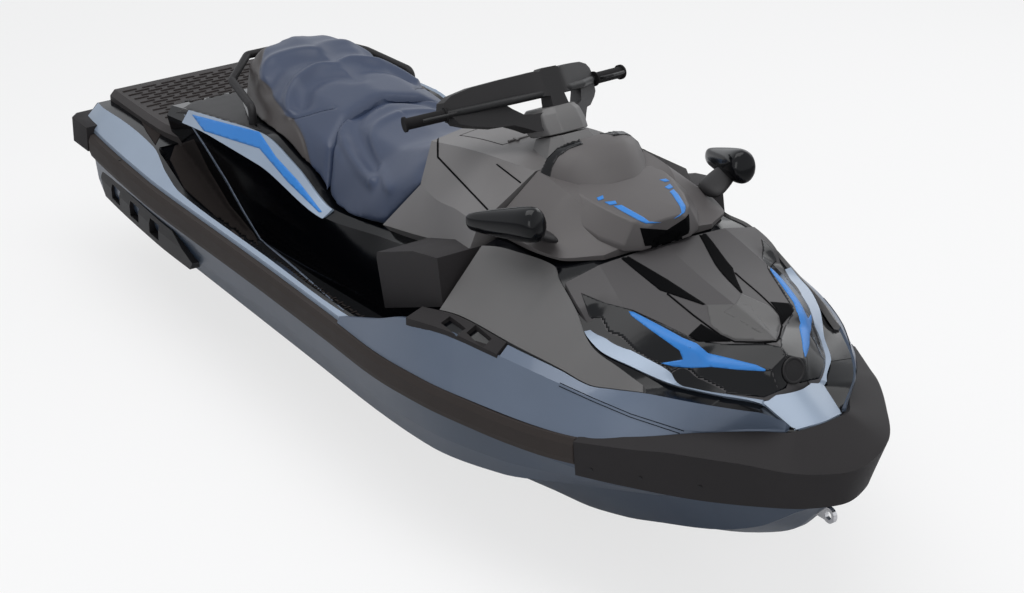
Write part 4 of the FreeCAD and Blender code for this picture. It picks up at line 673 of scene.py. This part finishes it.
print("a bell curve one half width away:", round(math.exp(-1.0), 2), "of its height")

# %% [markdown]
# ## Both seats
# The rear seat has a rim behind each of its two places, the rider's has one tall bolster that runs down both
# sides. Seams are narrow grooves. A few more rounds of smoothing take the edge off the ridges.

# %% Upholster both seats
passenger = cushion("passenger_cushion", "passenger_seat")
rider = cushion("rider_cushion", "rider_seat")

front_seam = seat_line("passenger_seat", [(292, 118), (306, 115), (322, 110), (337, 107)])
skirt_seam = seat_line("passenger_seat", [
    (272, 32), (263, 45), (260, 60), (260, 76), (272, 100), (291, 117), (303, 135), (308, 160), (312, 188)])
rear_rim = seat_line("passenger_seat", [(262, 78), (264, 65), (275, 56), (306, 48), (337, 52), (359, 64)])
rear_dish = seat_line("passenger_seat", [(271, 86), (281, 70), (303, 59), (326, 59), (350, 66)])
middle_rim = seat_line("passenger_seat", [
    (290, 112), (288, 101), (292, 87), (303, 75), (320, 65), (337, 62), (359, 69), (372, 76)])
middle_dish = seat_line("passenger_seat", [(303, 103), (306, 88), (320, 77), (342, 73), (366, 79)])
emboss(passenger, [
    (front_seam, -0.005, 0.006), (skirt_seam, -0.004, 0.006), (rear_rim, 0.010, 0.024),
    (rear_dish, -0.010, 0.034), (middle_rim, 0.016, 0.020), (middle_dish, -0.014, 0.034)])

bolster = seat_line("rider_seat", [
    (418, 86), (387, 83), (365, 90), (348, 101), (341, 115), (341, 132), (348, 149), (359, 166),
    (376, 185)])
bolster_foot = seat_line("rider_seat", [
    (404, 96), (376, 98.5), (359, 110), (354, 126), (362, 146), (376, 168)])
nose_arc = seat_line("rider_seat", [
    (426, 107), (393, 115), (373, 126), (370.4, 140), (376, 157), (384, 177), (388.6, 191)])
side_seam = seat_line("rider_seat", [(331, 118), (325.6, 143), (323.4, 177), (323.4, 199)])
emboss(rider, [
    (bolster, 0.018, 0.020), (bolster_foot, -0.014, 0.032), (nose_arc, 0.007, 0.016),
    (side_seam, -0.005, 0.005)])
for piece in (passenger, rider):
    calm(piece, RIDGE_ROUNDS)
    smooth_shaded(piece.data)
print("ridges and seams:", [len(line) for line in (front_seam, skirt_seam, middle_rim, bolster, nose_arc)])

# %% [markdown]
# ## Vinyl
# Marine vinyl is soft to the eye: a matt colour, a little sheen where it turns away, and a leather-like
# pebble of about a millimetre. The skirt under the passenger's part is black grained vinyl. Its upper edge
# follows a seam, so the colour comes from an attribute on the mesh, one where the skirt is.

# %% Seat vinyl
SEAM_BLUR = 0.004


def mark_skirt(piece, line):
    """An attribute that is one below the skirt seam, seen from the side."""
    track = sorted((p.x, p.z) for p in line)
    values = []
    for v in piece.data.vertices:
        share = 0.0
        if track and v.co.x < track[-1][0]:
            edge = track[0][1]
            for (xa, za), (xb, zb) in zip(track, track[1:]):
                if xa <= v.co.x <= xb:
                    edge = za + (zb - za) * (v.co.x - xa) / max(xb - xa, 1e-9)
                    break
            share = min(1.0, max(0.0, 0.5 + (edge - v.co.z) / SEAM_BLUR))
            if v.co.x < track[0][0]:
                share = 1.0
        values.append(share)
    layer = piece.data.attributes.new("skirt", "FLOAT", "POINT")
    layer.data.foreach_set("value", values)
    return sum(values) / max(len(values), 1)


vinyl = finish("seat vinyl navy", tone(46, 57, 80), 0.40, spread=0.08, grain_size=1000, grain_depth=0.25,
               variation=0.10, sheen=0.03, gleam=0.4)
tree = vinyl.node_tree
shader = tree.nodes["Principled BSDF"]
navy = shader.inputs["Base Color"].links[0].from_socket
skirt = fed(tree, "ShaderNodeAttribute", {}, attribute_name="skirt")
choose = fed(tree, "ShaderNodeMix", {
    "Factor": skirt.outputs["Fac"], "A": navy, "B": tone(46, 41, 40)}, data_type="RGBA")
feed(tree, shader, {"Base Color": choose.outputs["Result"]})
print("skirt share:", round(mark_skirt(passenger, skirt_seam), 2))
for piece, node in ((passenger, "passenger_seat"), (rider, "rider_seat")):
    if "skirt" not in piece.data.attributes:
        piece.data.attributes.new("skirt", "FLOAT", "POINT")
    piece.data.materials.clear()
    piece.data.materials.append(vinyl)
    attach(piece, "craft")
    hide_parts(node)

# %% [markdown]
# ## Handlebar cover
# The handlebar of the real craft is hidden in a moulded cover: a padded top, two arms that run down to
# the column and a gap between them. The cover is drawn in the plane of the bar, about the raked
# steering axis, and swept back with the bar. It turns with the steering, so it rides on that body and
# stands for the plain CAD pad and the CAD switch pods.

# %% Cover and head
RAKE = math.radians(22.0)
PIVOT = Vector((0.47, 0.0, 0.74))
FORWARD = Vector((math.cos(RAKE), 0.0, math.sin(RAKE)))
COLUMN = Vector((-math.sin(RAKE), 0.0, math.cos(RAKE)))


def on_column(forth, y, up):
    """A point about the steering axis, from millimetres."""
    return PIVOT + (FORWARD * forth + COLUMN * up) / 1000.0 + Vector((0.0, y / 1000.0, 0.0))


def bar_line(y):
    """How far forward of the axis the swept bar is, at a distance from the middle."""
    return -5.0 - 0.86 * math.sqrt(max(0.0, abs(y) - 30.0) ** 2 + 20.0 ** 2) + 17.2


def cover_wall(y, up, front):
    """The cover's front leans back towards its top, and its back is upright."""
    return on_column(bar_line(y) + (26.0 - 0.22 * (up - 100.0) if front else -30.0), y, up)


def both_ways(points):
    """An outline for the port half, joined to its mirror image."""
    return points + [(-y, up) for y, up in reversed(points) if y > 0.0]


arm_hole = [(24, 124), (80, 131), (136, 135), (120, 112), (100, 90), (78, 84), (28, 84)]
cover = plate("bar_cover", both_ways([
    (0, 204), (26, 203), (34, 196), (46, 200), (120, 198), (190, 194), (236, 183), (256, 168), (260, 150),
    (250, 128), (238, 100), (212, 86), (160, 68), (128, 66), (104, 50), (84, 34), (0, 34)]),
    [arm_hole, [(-y, up) for y, up in reversed(arm_hole)]], cover_wall, 12.0, satin_black, "steering")
rounded(cover, 0.005)
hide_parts("bar_pad", "control_pods")


def ring_at(up, half):
    """A head section at a height, from its port half."""
    return [on_column(a, y, up) for a, y in half] + [on_column(a, -y, up) for a, y in reversed(half)]


head = loft("head_cover", [
    ring_at(16, [(58, 36), (34, 66), (-50, 70), (-92, 50)]),
    ring_at(46, [(50, 36), (24, 70), (-64, 76), (-112, 56)]),
    ring_at(76, [(38, 34), (14, 66), (-72, 72), (-112, 52)]),
    ring_at(94, [(24, 28), (4, 54), (-66, 60), (-98, 42)])], shroud_paint, "steering")
rounded(head, 0.004, limit=20.0)
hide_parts("steering_head")
print("cover and head:", len(cover.data.vertices), len(head.data.vertices))

# %% [markdown]
# ## Mirrors
# The mirror shells are long drops that taper to the rear, on flat feet. Both are lofts: a few sections,
# and a subdivision that makes them smooth. They are fixed to the storage lid, so they open with it.

# %% Mirror shells
MIRROR_TIP, MIRROR_NOSE = Vector((0.600, -0.420, 0.632)), Vector((0.846, -0.352, 0.690))


def drop_section(share, thick, high):
    """One section across a mirror's length, from its tip (0) to its blunt nose (1)."""
    along = (MIRROR_NOSE - MIRROR_TIP).normalized()
    forth = Vector((along.y, -along.x, 0.0)).normalized()
    up = along.cross(forth)
    up = up if up.z > 0.0 else -up
    return ring(MIRROR_TIP.lerp(MIRROR_NOSE, share), forth * thick, up * high, 12)


mirror_shell = loft("mirror_shells", [drop_section(*row) for row in (
    (0.00, 0.010, 0.020), (0.07, 0.018, 0.028), (0.35, 0.030, 0.038), (0.72, 0.042, 0.050),
    (0.92, 0.044, 0.053), (1.00, 0.032, 0.042))], gloss_black, "bow_lid")
twinned(mirror_shell)
subdivided(mirror_shell, 2)
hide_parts("mirrors")


def foot_section(x, y, z, long, wide):
    """One section of a mirror's foot, flat and lying along the boat."""
    return ring(Vector((x, y, z)), Vector((long, 0.0, 0.0)), Vector((0.0, 0.0, wide)), 10)


mirror_foot = loft("mirror_feet", [foot_section(*row) for row in (
    (0.760, -0.365, 0.655, 0.045, 0.016), (0.770, -0.320, 0.634, 0.052, 0.016),
    (0.780, -0.262, 0.610, 0.060, 0.020))], satin_black, "bow_lid")
twinned(mirror_foot)
subdivided(mirror_foot, 2)
print("mirrors:", len(mirror_shell.data.vertices), "feet:", len(mirror_foot.data.vertices))

# %% [markdown]
# ## The hood over the instruments
# Five arched sections from the rider's side to the bow make the dome. Its lower edge ends inside the
# lid, so that no joint shows, and the black arch is a skin on its side.

# %% Instrument hood
def arch(x, half):
    """A section across the boat, from its port half, closed under the lid."""
    return [Vector((x, y, z)) for y, z in half] + [Vector((x, -y, z)) for y, z in reversed(half)]


dome = loft("instrument_hood", [
    arch(0.588, [(0.178, 0.676), (0.176, 0.700), (0.150, 0.744),
                 (0.118, 0.770), (0.078, 0.780), (0.026, 0.782)]),
    arch(0.622, [(0.172, 0.672), (0.170, 0.696), (0.146, 0.742),
                 (0.114, 0.772), (0.074, 0.784), (0.024, 0.787)]),
    arch(0.664, [(0.156, 0.668), (0.152, 0.690), (0.128, 0.728),
                 (0.098, 0.756), (0.062, 0.769), (0.020, 0.773)]),
    arch(0.704, [(0.136, 0.660), (0.130, 0.682), (0.108, 0.706),
                 (0.080, 0.726), (0.050, 0.737), (0.016, 0.741)]),
    arch(0.746, [(0.112, 0.650), (0.104, 0.668), (0.084, 0.680),
                 (0.060, 0.690), (0.038, 0.697), (0.012, 0.699)])],
    lid_paint, "bow_lid")
rounded(dome, 0.006, limit=40.0)
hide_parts("gauge_visor")
skin("hood_arches", [
    (541, 182), (541, 160), (547, 149), (561, 141.5), (579, 139), (583, 144), (569, 149), (558, 157),
    (552, 168), (549, 183)], in_picture(tree_over(dome)), gloss_black, body="bow_lid", step=FINE)
print("hood:", len(dome.data.vertices))

# %% [markdown]
# ## Foam pads
# The knee pads and the bumpers at the stern corners are thick soft mouldings with wide round edges. The CAD
# solids have sharp ones, so softened copies stand for them.

# %% Knee pads and stern corners
for name, node in (("knee_pads", "knee_pods"), ("stern_corners", "stern_bumpers")):
    print(name, len(softened(name, node, 0.012, bumper_black).data.vertices))

# %% [markdown]
# ## Stripes, lines and painted shade in recesses
# The coloured stripes are thin films on the mouldings, and the narrow dark lines are the joints
# between them. All of them are skins: an outline drawn in the picture, laid on the surface that is seen
# there and repeated on the other side of the boat.

# %% Blue accents
hood_sight = in_picture(surface("hood"))
haunch_sight = in_picture(surface("haunch_panels"))
skin("hood_fork_stripe", [
    (628.8, 311.4), (634, 312.3), (660, 325.7), (683, 338.2), (696.6, 343.6), (708, 353.4), (731.4, 358.8),
    (756, 365), (766, 369.5), (765, 371.3), (738.6, 370), (712, 367.1), (692, 368), (674.3, 366.8),
    (661, 363.2), (683, 359.6), (679.6, 350.7), (667, 341.8), (645.7, 326.6), (631.4, 315.9)],
    hood_sight, accent_blue)
skin("haunch_band", [
    (192, 114.5), (259.5, 132), (276.2, 157), (298.4, 181), (322, 212), (319, 212.5), (287, 181),
    (259.5, 148.5), (204, 131)], haunch_sight, accent_blue, step=2.5)
print("blue stripes drawn")

# %% [markdown]
# ## The hood's dark field and nose
# A gloss black field lies under the stripe. On it lie a lighter grey facet, which is a painted highlight,
# and black skins in a scoop and a groove, which are painted shade. Fields that overlap get different lifts,
# a fraction of a millimetre apart. The nose has a plain round boss, turned as a loft of rings about the
# surface's normal.

# %% Facets and joints on the hood
skin("hood_black_field", [
    (581, 293), (604, 302.5), (633, 310), (672, 328), (696, 340), (723, 344), (764, 343.4), (781, 347),
    (788, 354), (792, 372), (786, 388), (764, 397.5), (723, 393), (686, 386), (662, 379.5), (641.6, 368),
    (611, 337), (589, 316)], hood_sight, gloss_black, lift=0.0006, wall=0.0016)
# The scoop and the groove beside the lit ridge get black skins: painted shade in these hollows.
skin("hood_scoop_shade", [(688.6, 335.5), (701, 324), (716, 333), (731, 341.5), (699, 342)], hood_sight,
     joint_and_shade_black)
skin("hood_groove_shade", [(613.6, 252.5), (626, 255.2), (667, 279.3), (705.5, 304.3), (702.9, 305), (660, 290.5),
                   (635, 270.4)], hood_sight, joint_and_shade_black)
skin("hood_facet_joint", ribbon_outline([
    (667, 293.6), (693, 315), (720.7, 335.5), (735, 341.8), (757, 342.3), (776, 341.6), (780, 338)], 0.8),
    hood_sight, joint_and_shade_black, step=FINE)
# A lighter grey copy of the hood's charcoal on one facet: a painted highlight where that facet faces the
# light.
lit_facet_grey = finish("hood facet painted highlight grey", tone(76, 75, 75), 0.5, flake=0.15, gleam=0.3)
skin("hood_facet", [
    (706.5, 305), (749, 304.5), (775, 338), (774, 340.5), (736, 340), (722, 334), (711, 325)],
    hood_sight, lit_facet_grey, lift=0.0009)
nose_spot, nose_way = hood_sight(793, 370.4)
across = nose_way.cross(Vector((0.0, 0.0, 1.0))).normalized()
above = across.cross(nose_way).normalized()


def boss_ring(radius, proud):
    """A ring of the round boss on the hood's nose."""
    return ring(nose_spot + nose_way * proud, across * radius, above * radius, 48)


boss = loft("nose_boss", [boss_ring(*row) for row in (
    (0.036, -0.012), (0.036, 0.004), (0.034, 0.006), (0.030, 0.006), (0.028, 0.004), (0.004, 0.005))],
    satin_black, "craft")
rounded(boss, 0.0008, limit=25.0, segments=2)
print("boss at", tuple(round(c, 3) for c in nose_spot))

# %% [markdown]
# ## The lid's crest
# The middle of the storage lid stands higher than its sides and ends in a nose with a slot. It is
# one more loft on the lid, and the blue strokes lie on it as skins. The slot is a black skin too: painted
# shade for the dark inside it.

# %% Crest and slot
def crest_section(x, half_top, half_foot, top, foot):
    """A section of the crest: flat top, sloping sides, closed inside the lid."""
    return arch(x, [(half_foot, foot - 0.02), (half_foot, foot), (half_top, top - 0.006),
                    (half_top * 0.6, top), (0.012, top + 0.001)])


crest = loft("lid_crest", [crest_section(*row) for row in (
    (0.700, 0.150, 0.200, 0.706, 0.660), (0.780, 0.140, 0.195, 0.694, 0.640),
    (0.860, 0.120, 0.170, 0.680, 0.615), (0.915, 0.096, 0.130, 0.667, 0.600),
    (0.940, 0.060, 0.080, 0.655, 0.600))], lid_paint, "bow_lid")
rounded(crest, 0.006, limit=18.0)
crest_sight = in_picture(tree_over(crest))
print("crest at the strokes' end:", crest_sight(657, 221)[0])
for name, outline in (
        ("lid_stripe", [(613.6, 206), (621.6, 205.2), (644, 217.7), (649.3, 221.8), (661, 222.5),
                        (646, 223.6), (638.6, 220.4), (620.7, 210.5)]),
        ("lid_dash_front", [(604.6, 202.1), (615.4, 201), (617, 204), (610, 205.2)]),
        ("lid_dash_rear", [(596.6, 198), (603, 195.4), (603.8, 199), (598.4, 200.7)])):
    skin(name, outline, crest_sight, accent_blue, body="bow_lid", step=1.5)
# The slot is a black skin: painted shade for the dark inside it.
skin("lid_slot_shade", [(640, 228), (661, 229.5), (681, 231), (682.5, 241), (662, 244.5), (645, 246)],
     crest_sight, joint_and_shade_black, body="bow_lid", step=1.5, lift=0.0009)

# %% [markdown]
# ## Pin lines
# A double dark line follows the upper edge of the side panel, and single dark lines mark the joints
# of the console. They are narrow skins again, drawn in the picture and mirrored.

# %% Lines on panels and console
panel_sight = in_picture(surface("side_panels"))
console_sight = in_picture(surface("console"))
for name, points, half, sight in (
        ("panel_line_upper", [(560, 383), (593, 398), (631, 414), (684, 431)], 0.35, panel_sight),
        ("panel_line_lower", [(559, 386), (592, 401), (630, 417), (680, 433.5)], 0.35, panel_sight),
        ("console_joint", [(437.9, 128.6), (437.9, 157.1), (487.9, 209.8)], 0.9, console_sight),
        ("console_slot", [(496.8, 164.3), (520.9, 183)], 0.7, console_sight)):
    line = skin(name, ribbon_outline(points, half), sight, joint_and_shade_black, step=FINE)
    print(name, len(line.data.polygons), "faces")

# %% [markdown]
# ## What repeats
# Traction bars, screws and stitches repeat many times. A Geometry Nodes tree places a small body, a block
# or a round head, on each point of a cloud: the points carry the surface's normal and the way the body
# lies. Length, width and height are inputs, so one tree serves bars and stitches alike. Real instances
# would be lost in the export, so the tree realizes them and sets the material.

# %% The tree
def repeat_tree(name, round_head):
    """Points in, small solid bodies out, turned by the point's normal and lie."""
    tree = bpy.data.node_groups.new(name, "GeometryNodeTree")
    tree.is_modifier = True
    face = tree.interface
    face.new_socket("Geometry", in_out="INPUT", socket_type="NodeSocketGeometry")
    for label in ("Length", "Width", "Height"):
        face.new_socket(label, in_out="INPUT", socket_type="NodeSocketFloat")
    face.new_socket("Finish", in_out="INPUT", socket_type="NodeSocketMaterial")
    face.new_socket("Geometry", in_out="OUTPUT", socket_type="NodeSocketGeometry")
    ins, outs = tree.nodes.new("NodeGroupInput"), tree.nodes.new("NodeGroupOutput")
    if round_head:
        radius = sums(tree, "MULTIPLY", ins.outputs["Width"], 0.5)
        body = fed(tree, "GeometryNodeMeshCylinder", {
            "Vertices": 12, "Radius": radius, "Depth": ins.outputs["Height"]})
    else:
        size = fed(tree, "ShaderNodeCombineXYZ", {
            "X": ins.outputs["Length"], "Y": ins.outputs["Width"], "Z": ins.outputs["Height"]})
        body = fed(tree, "GeometryNodeMeshCube", {"Size": size.outputs[0]})
    turn = {}
    for axis, pivot, label in (("Z", "AUTO", "normal"), ("X", "Z", "lie")):
        read = fed(tree, "GeometryNodeInputNamedAttribute", {"Name": label}, data_type="FLOAT_VECTOR")
        align = fed(tree, "FunctionNodeAlignRotationToVector", {
            "Vector": read.outputs["Attribute"], **turn}, axis=axis, pivot_axis=pivot)
        turn = {"Rotation": align.outputs["Rotation"]}
    place = fed(tree, "GeometryNodeInstanceOnPoints", {
        "Points": ins.outputs["Geometry"], "Instance": body.outputs["Mesh"], **turn})
    real = fed(tree, "GeometryNodeRealizeInstances", {"Geometry": place.outputs["Instances"]})
    wear = fed(tree, "GeometryNodeSetMaterial", {
        "Geometry": real.outputs["Geometry"], "Material": ins.outputs["Finish"]})
    feed(tree, outs, {"Geometry": wear.outputs["Geometry"]})
    return tree


bars = repeat_tree("bars on points", False)
heads = repeat_tree("screw heads on points", True)
print("trees:", bars.name, "and", heads.name)


def repeated(name, tree, spots, size, finish, body="craft"):
    """Run the tree on a cloud of (place, normal, lie) and keep the result as a plain mesh."""
    points = bpy.data.meshes.new(name + "_points")
    points.from_pydata([tuple(spot[0]) for spot in spots], [], [])
    for label, column in (("normal", 1), ("lie", 2)):
        layer = points.attributes.new(label, "FLOAT_VECTOR", "POINT")
        layer.data.foreach_set("vector", [c for spot in spots for c in spot[column]])
    piece = into_scene(name, points)
    repeat = piece.modifiers.new("repeat", "NODES")
    repeat.node_group = tree
    values = {"Length": size[0], "Width": size[1], "Height": size[2], "Finish": finish}
    for item in tree.interface.items_tree:
        if item.item_type == "SOCKET" and item.in_out == "INPUT" and item.name in values:
            repeat[item.identifier] = values[item.name]
    applied(piece)
    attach(piece, body)
    print(name, len(spots), "bodies,", len(piece.data.polygons), "faces")
    return piece


# %% [markdown]
# ## Where feet stand
# The rear deck and the footwells have raised bars against slipping, on mats of a rough rubber. Rays from
# above find the floor, and a bar is set only where it is nearly level. The bars of every other
# row are shifted by half a pitch. The mats on the sides of the wells are skins, like the stripes.

# %% Traction bars on the rear deck and in the footwells
LENGTHWAYS, CROSSWAYS = Vector((1.0, 0.0, 0.0)), Vector((0.0, 1.0, 0.0))
LEVEL = 0.97
ROW_PITCH, BAR_PITCH, WELL_PITCH = 0.022, 0.075, 0.020
deck_top = from_above(surface("rear_cover", "deck"))
spots = []
for row in range(20):
    for k in range(9):
        x, y = -1.640 + row * ROW_PITCH, -0.30 + BAR_PITCH * k + (BAR_PITCH / 2 if row % 2 else 0.0)
        hit, way = deck_top(x, y)
        if hit is not None and way.z > LEVEL and hit.z > 0.25 and abs(y) < 0.33:
            spots.append((hit, way, CROSSWAYS))
repeated("deck_traction_bars", bars, spots, (0.052, 0.008, 0.004), mat_black)
well_floor = from_above(surface("deck"))
spots = []
for row in range(60):
    for y in (0.395, 0.425, 0.455):
        for side in (-1.0, 1.0):
            hit, way = well_floor(-1.0 + row * WELL_PITCH, side * y)
            if hit is not None and way.z > LEVEL and hit.z < 0.16:
                spots.append((hit, way, LENGTHWAYS if row % 2 else CROSSWAYS))
repeated("footwell_traction_bars", bars, spots, (0.020, 0.007, 0.004), mat_black)

deck_sight = in_picture(surface("deck"))
skin("side_mats", [
    (170, 159.6), (174.8, 146), (194, 139), (208.5, 169), (230, 205), (256, 236), (259, 248),
    (237, 236.6), (208.5, 210), (184, 188.5)], deck_sight, mat_black, lift=0.002, wall=0.003, step=2.5)
skin("haunch_top", [(176, 113), (203, 96), (237, 87), (250, 122), (262, 131), (192, 113.5)],
     deck_sight, satin_black)
skin("side_mats_upper", [(141, 121), (160, 120), (161.5, 133), (155.5, 145), (146, 131)],
     deck_sight, mat_black, lift=0.002, wall=0.003)
# A light grey-blue line along the pedestal's lower crease: a painted highlight where the gloss black edge
# catches the light.
crease_highlight = finish("pedestal crease painted highlight", tone(104, 114, 130), 0.35, variation=0.05, gleam=0.3)
skin("pedestal_crease_highlight", ribbon_outline(
    [(184.5, 114.7), (203, 143), (227, 182), (244, 212.7), (260, 239), (295, 268), (343.7, 310.6)],
    [0.5, 0.8, 1.0, 1.0, 0.9, 0.8, 0.4]), deck_sight, crease_highlight, step=1.8)

# %% [markdown]
# ## Screws and stitches
# Screw heads hold the bow bumper and the rub rails, and a thread runs along two seams of the seats.
# They are the smallest things in the picture, but they tell how the craft is put together.

# %% Screws and stitches
STITCH_PITCH = 0.011


def both_sides(*arrows):
    """A spot's place, normal and lie, and their mirror image on the other side of the boat."""
    return [tuple(Vector((a.x, a.y * side, a.z)) for a in arrows) for side in (1.0, -1.0)]


screws = []
for node, points in (("bow_bumper", [(591, 470), (640, 478), (700, 487)]),
                     ("rub_rails", [(120, 160), (240, 238), (360, 318), (480, 398)])):
    for u, v in points:
        hit, way = in_picture(surface(node))(u, v)
        if hit is not None:
            screws += both_sides(hit, way, LENGTHWAYS)
repeated("screw_heads", heads, screws, (0.0, 0.011, 0.004), steel_black)
thread = finish("stitch thread", tone(30, 36, 50), 0.7, gleam=0.1)
stitches = []
for line, piece in ((front_seam, passenger), (side_seam, rider)):
    tree = tree_over(piece)
    for a, b in zip(line, line[1:]):
        count = max(1, round((b - a).length / STITCH_PITCH))
        for k in range(count):
            near, way, _, _ = tree.find_nearest(a.lerp(b, k / count))
            if near is not None and (b - a).length > 0.001:
                stitches += both_sides(near, way, (b - a).normalized())
repeated("seat_stitches", bars, stitches, (0.006, 0.0014, 0.0012), thread)

# %% [markdown]
# ## Studio
# A pale floor and soft light from a large lamp overhead, as in a product studio. The floor lies
# just under the keel, because the craft is shown out of the water. The white of the background
# comes from what camera and glossy rays see in the world, never from more light on the craft.

# %% Floor, world and lamps
FLOOR_HALF, FLOOR_GAP = 30, 0.004
FLOOR_GLOW, SKY_SHARE = 0.72, 0.42
floor_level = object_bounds()[0][2] - FLOOR_GAP
floor = into_scene("studio_floor", bpy.data.meshes.new("studio_floor"))
floor.data.from_pydata([(x * FLOOR_HALF, y * FLOOR_HALF, floor_level)
                        for x, y in ((-1, -1), (1, -1), (1, 1), (-1, 1))], [], [(0, 1, 2, 3)])
floor_paint = bpy.data.materials.new("floor white")
floor_paint.use_nodes = True
tree = floor_paint.node_tree
matt = tree.nodes["Principled BSDF"]
feed(tree, matt, {"Base Color": (0.86, 0.86, 0.87, 1.0), "Roughness": 0.9})
glow = fed(tree, "ShaderNodeEmission", {"Strength": 1.0})
rays = tree.nodes.new("ShaderNodeLightPath")
shine = sums(tree, "MULTIPLY", rays.outputs["Is Camera Ray"], FLOOR_GLOW)
mixed = fed(tree, "ShaderNodeMixShader", {0: shine, 1: matt.outputs[0], 2: glow.outputs[0]})
feed(tree, tree.nodes["Material Output"], {"Surface": mixed.outputs[0]})
floor.data.materials.append(floor_paint)

world = bpy.data.worlds.new("studio")
bpy.context.scene.world = world
world.use_nodes = True
tree = world.node_tree
rays = tree.nodes.new("ShaderNodeLightPath")
sight = sums(tree, "MAXIMUM", rays.outputs["Is Camera Ray"], rays.outputs["Is Transmission Ray"])
sight = sums(tree, "MAXIMUM", sight, rays.outputs["Is Glossy Ray"])
feed(tree, tree.nodes["Background"], {
    "Color": (0.95, 0.97, 1.0, 1.0),
    "Strength": sums(tree, "MULTIPLY_ADD", sight, 1.0 - SKY_SHARE, SKY_SHARE)})


def lamp(name, place, target, size, power):
    """A large soft lamp that points at a spot."""
    light = bpy.data.lights.new(name, "AREA")
    holder = into_scene(name, tuned(light, shape="RECTANGLE", size=size[0], size_y=size[1], energy=power))
    holder.location = place
    holder.rotation_euler = (Vector(place) - Vector(target)).to_track_quat("Z", "Y").to_euler()
    return holder


lamp("overhead", (0.4, -0.6, 4.2), (0.0, 0.0, 0.2), (5.0, 3.0), 130.0)
lamp("bow_side", (4.5, -3.6, 2.2), (0.6, 0.0, 0.1), (3.0, 2.0), 42.0)
lamp("port_side", (-0.5, 4.5, 2.6), (0.0, 0.0, 0.2), (4.0, 2.0), 42.0)
bpy.context.scene.view_settings.view_transform = "Standard"
print("floor at %.3f m" % floor_level)
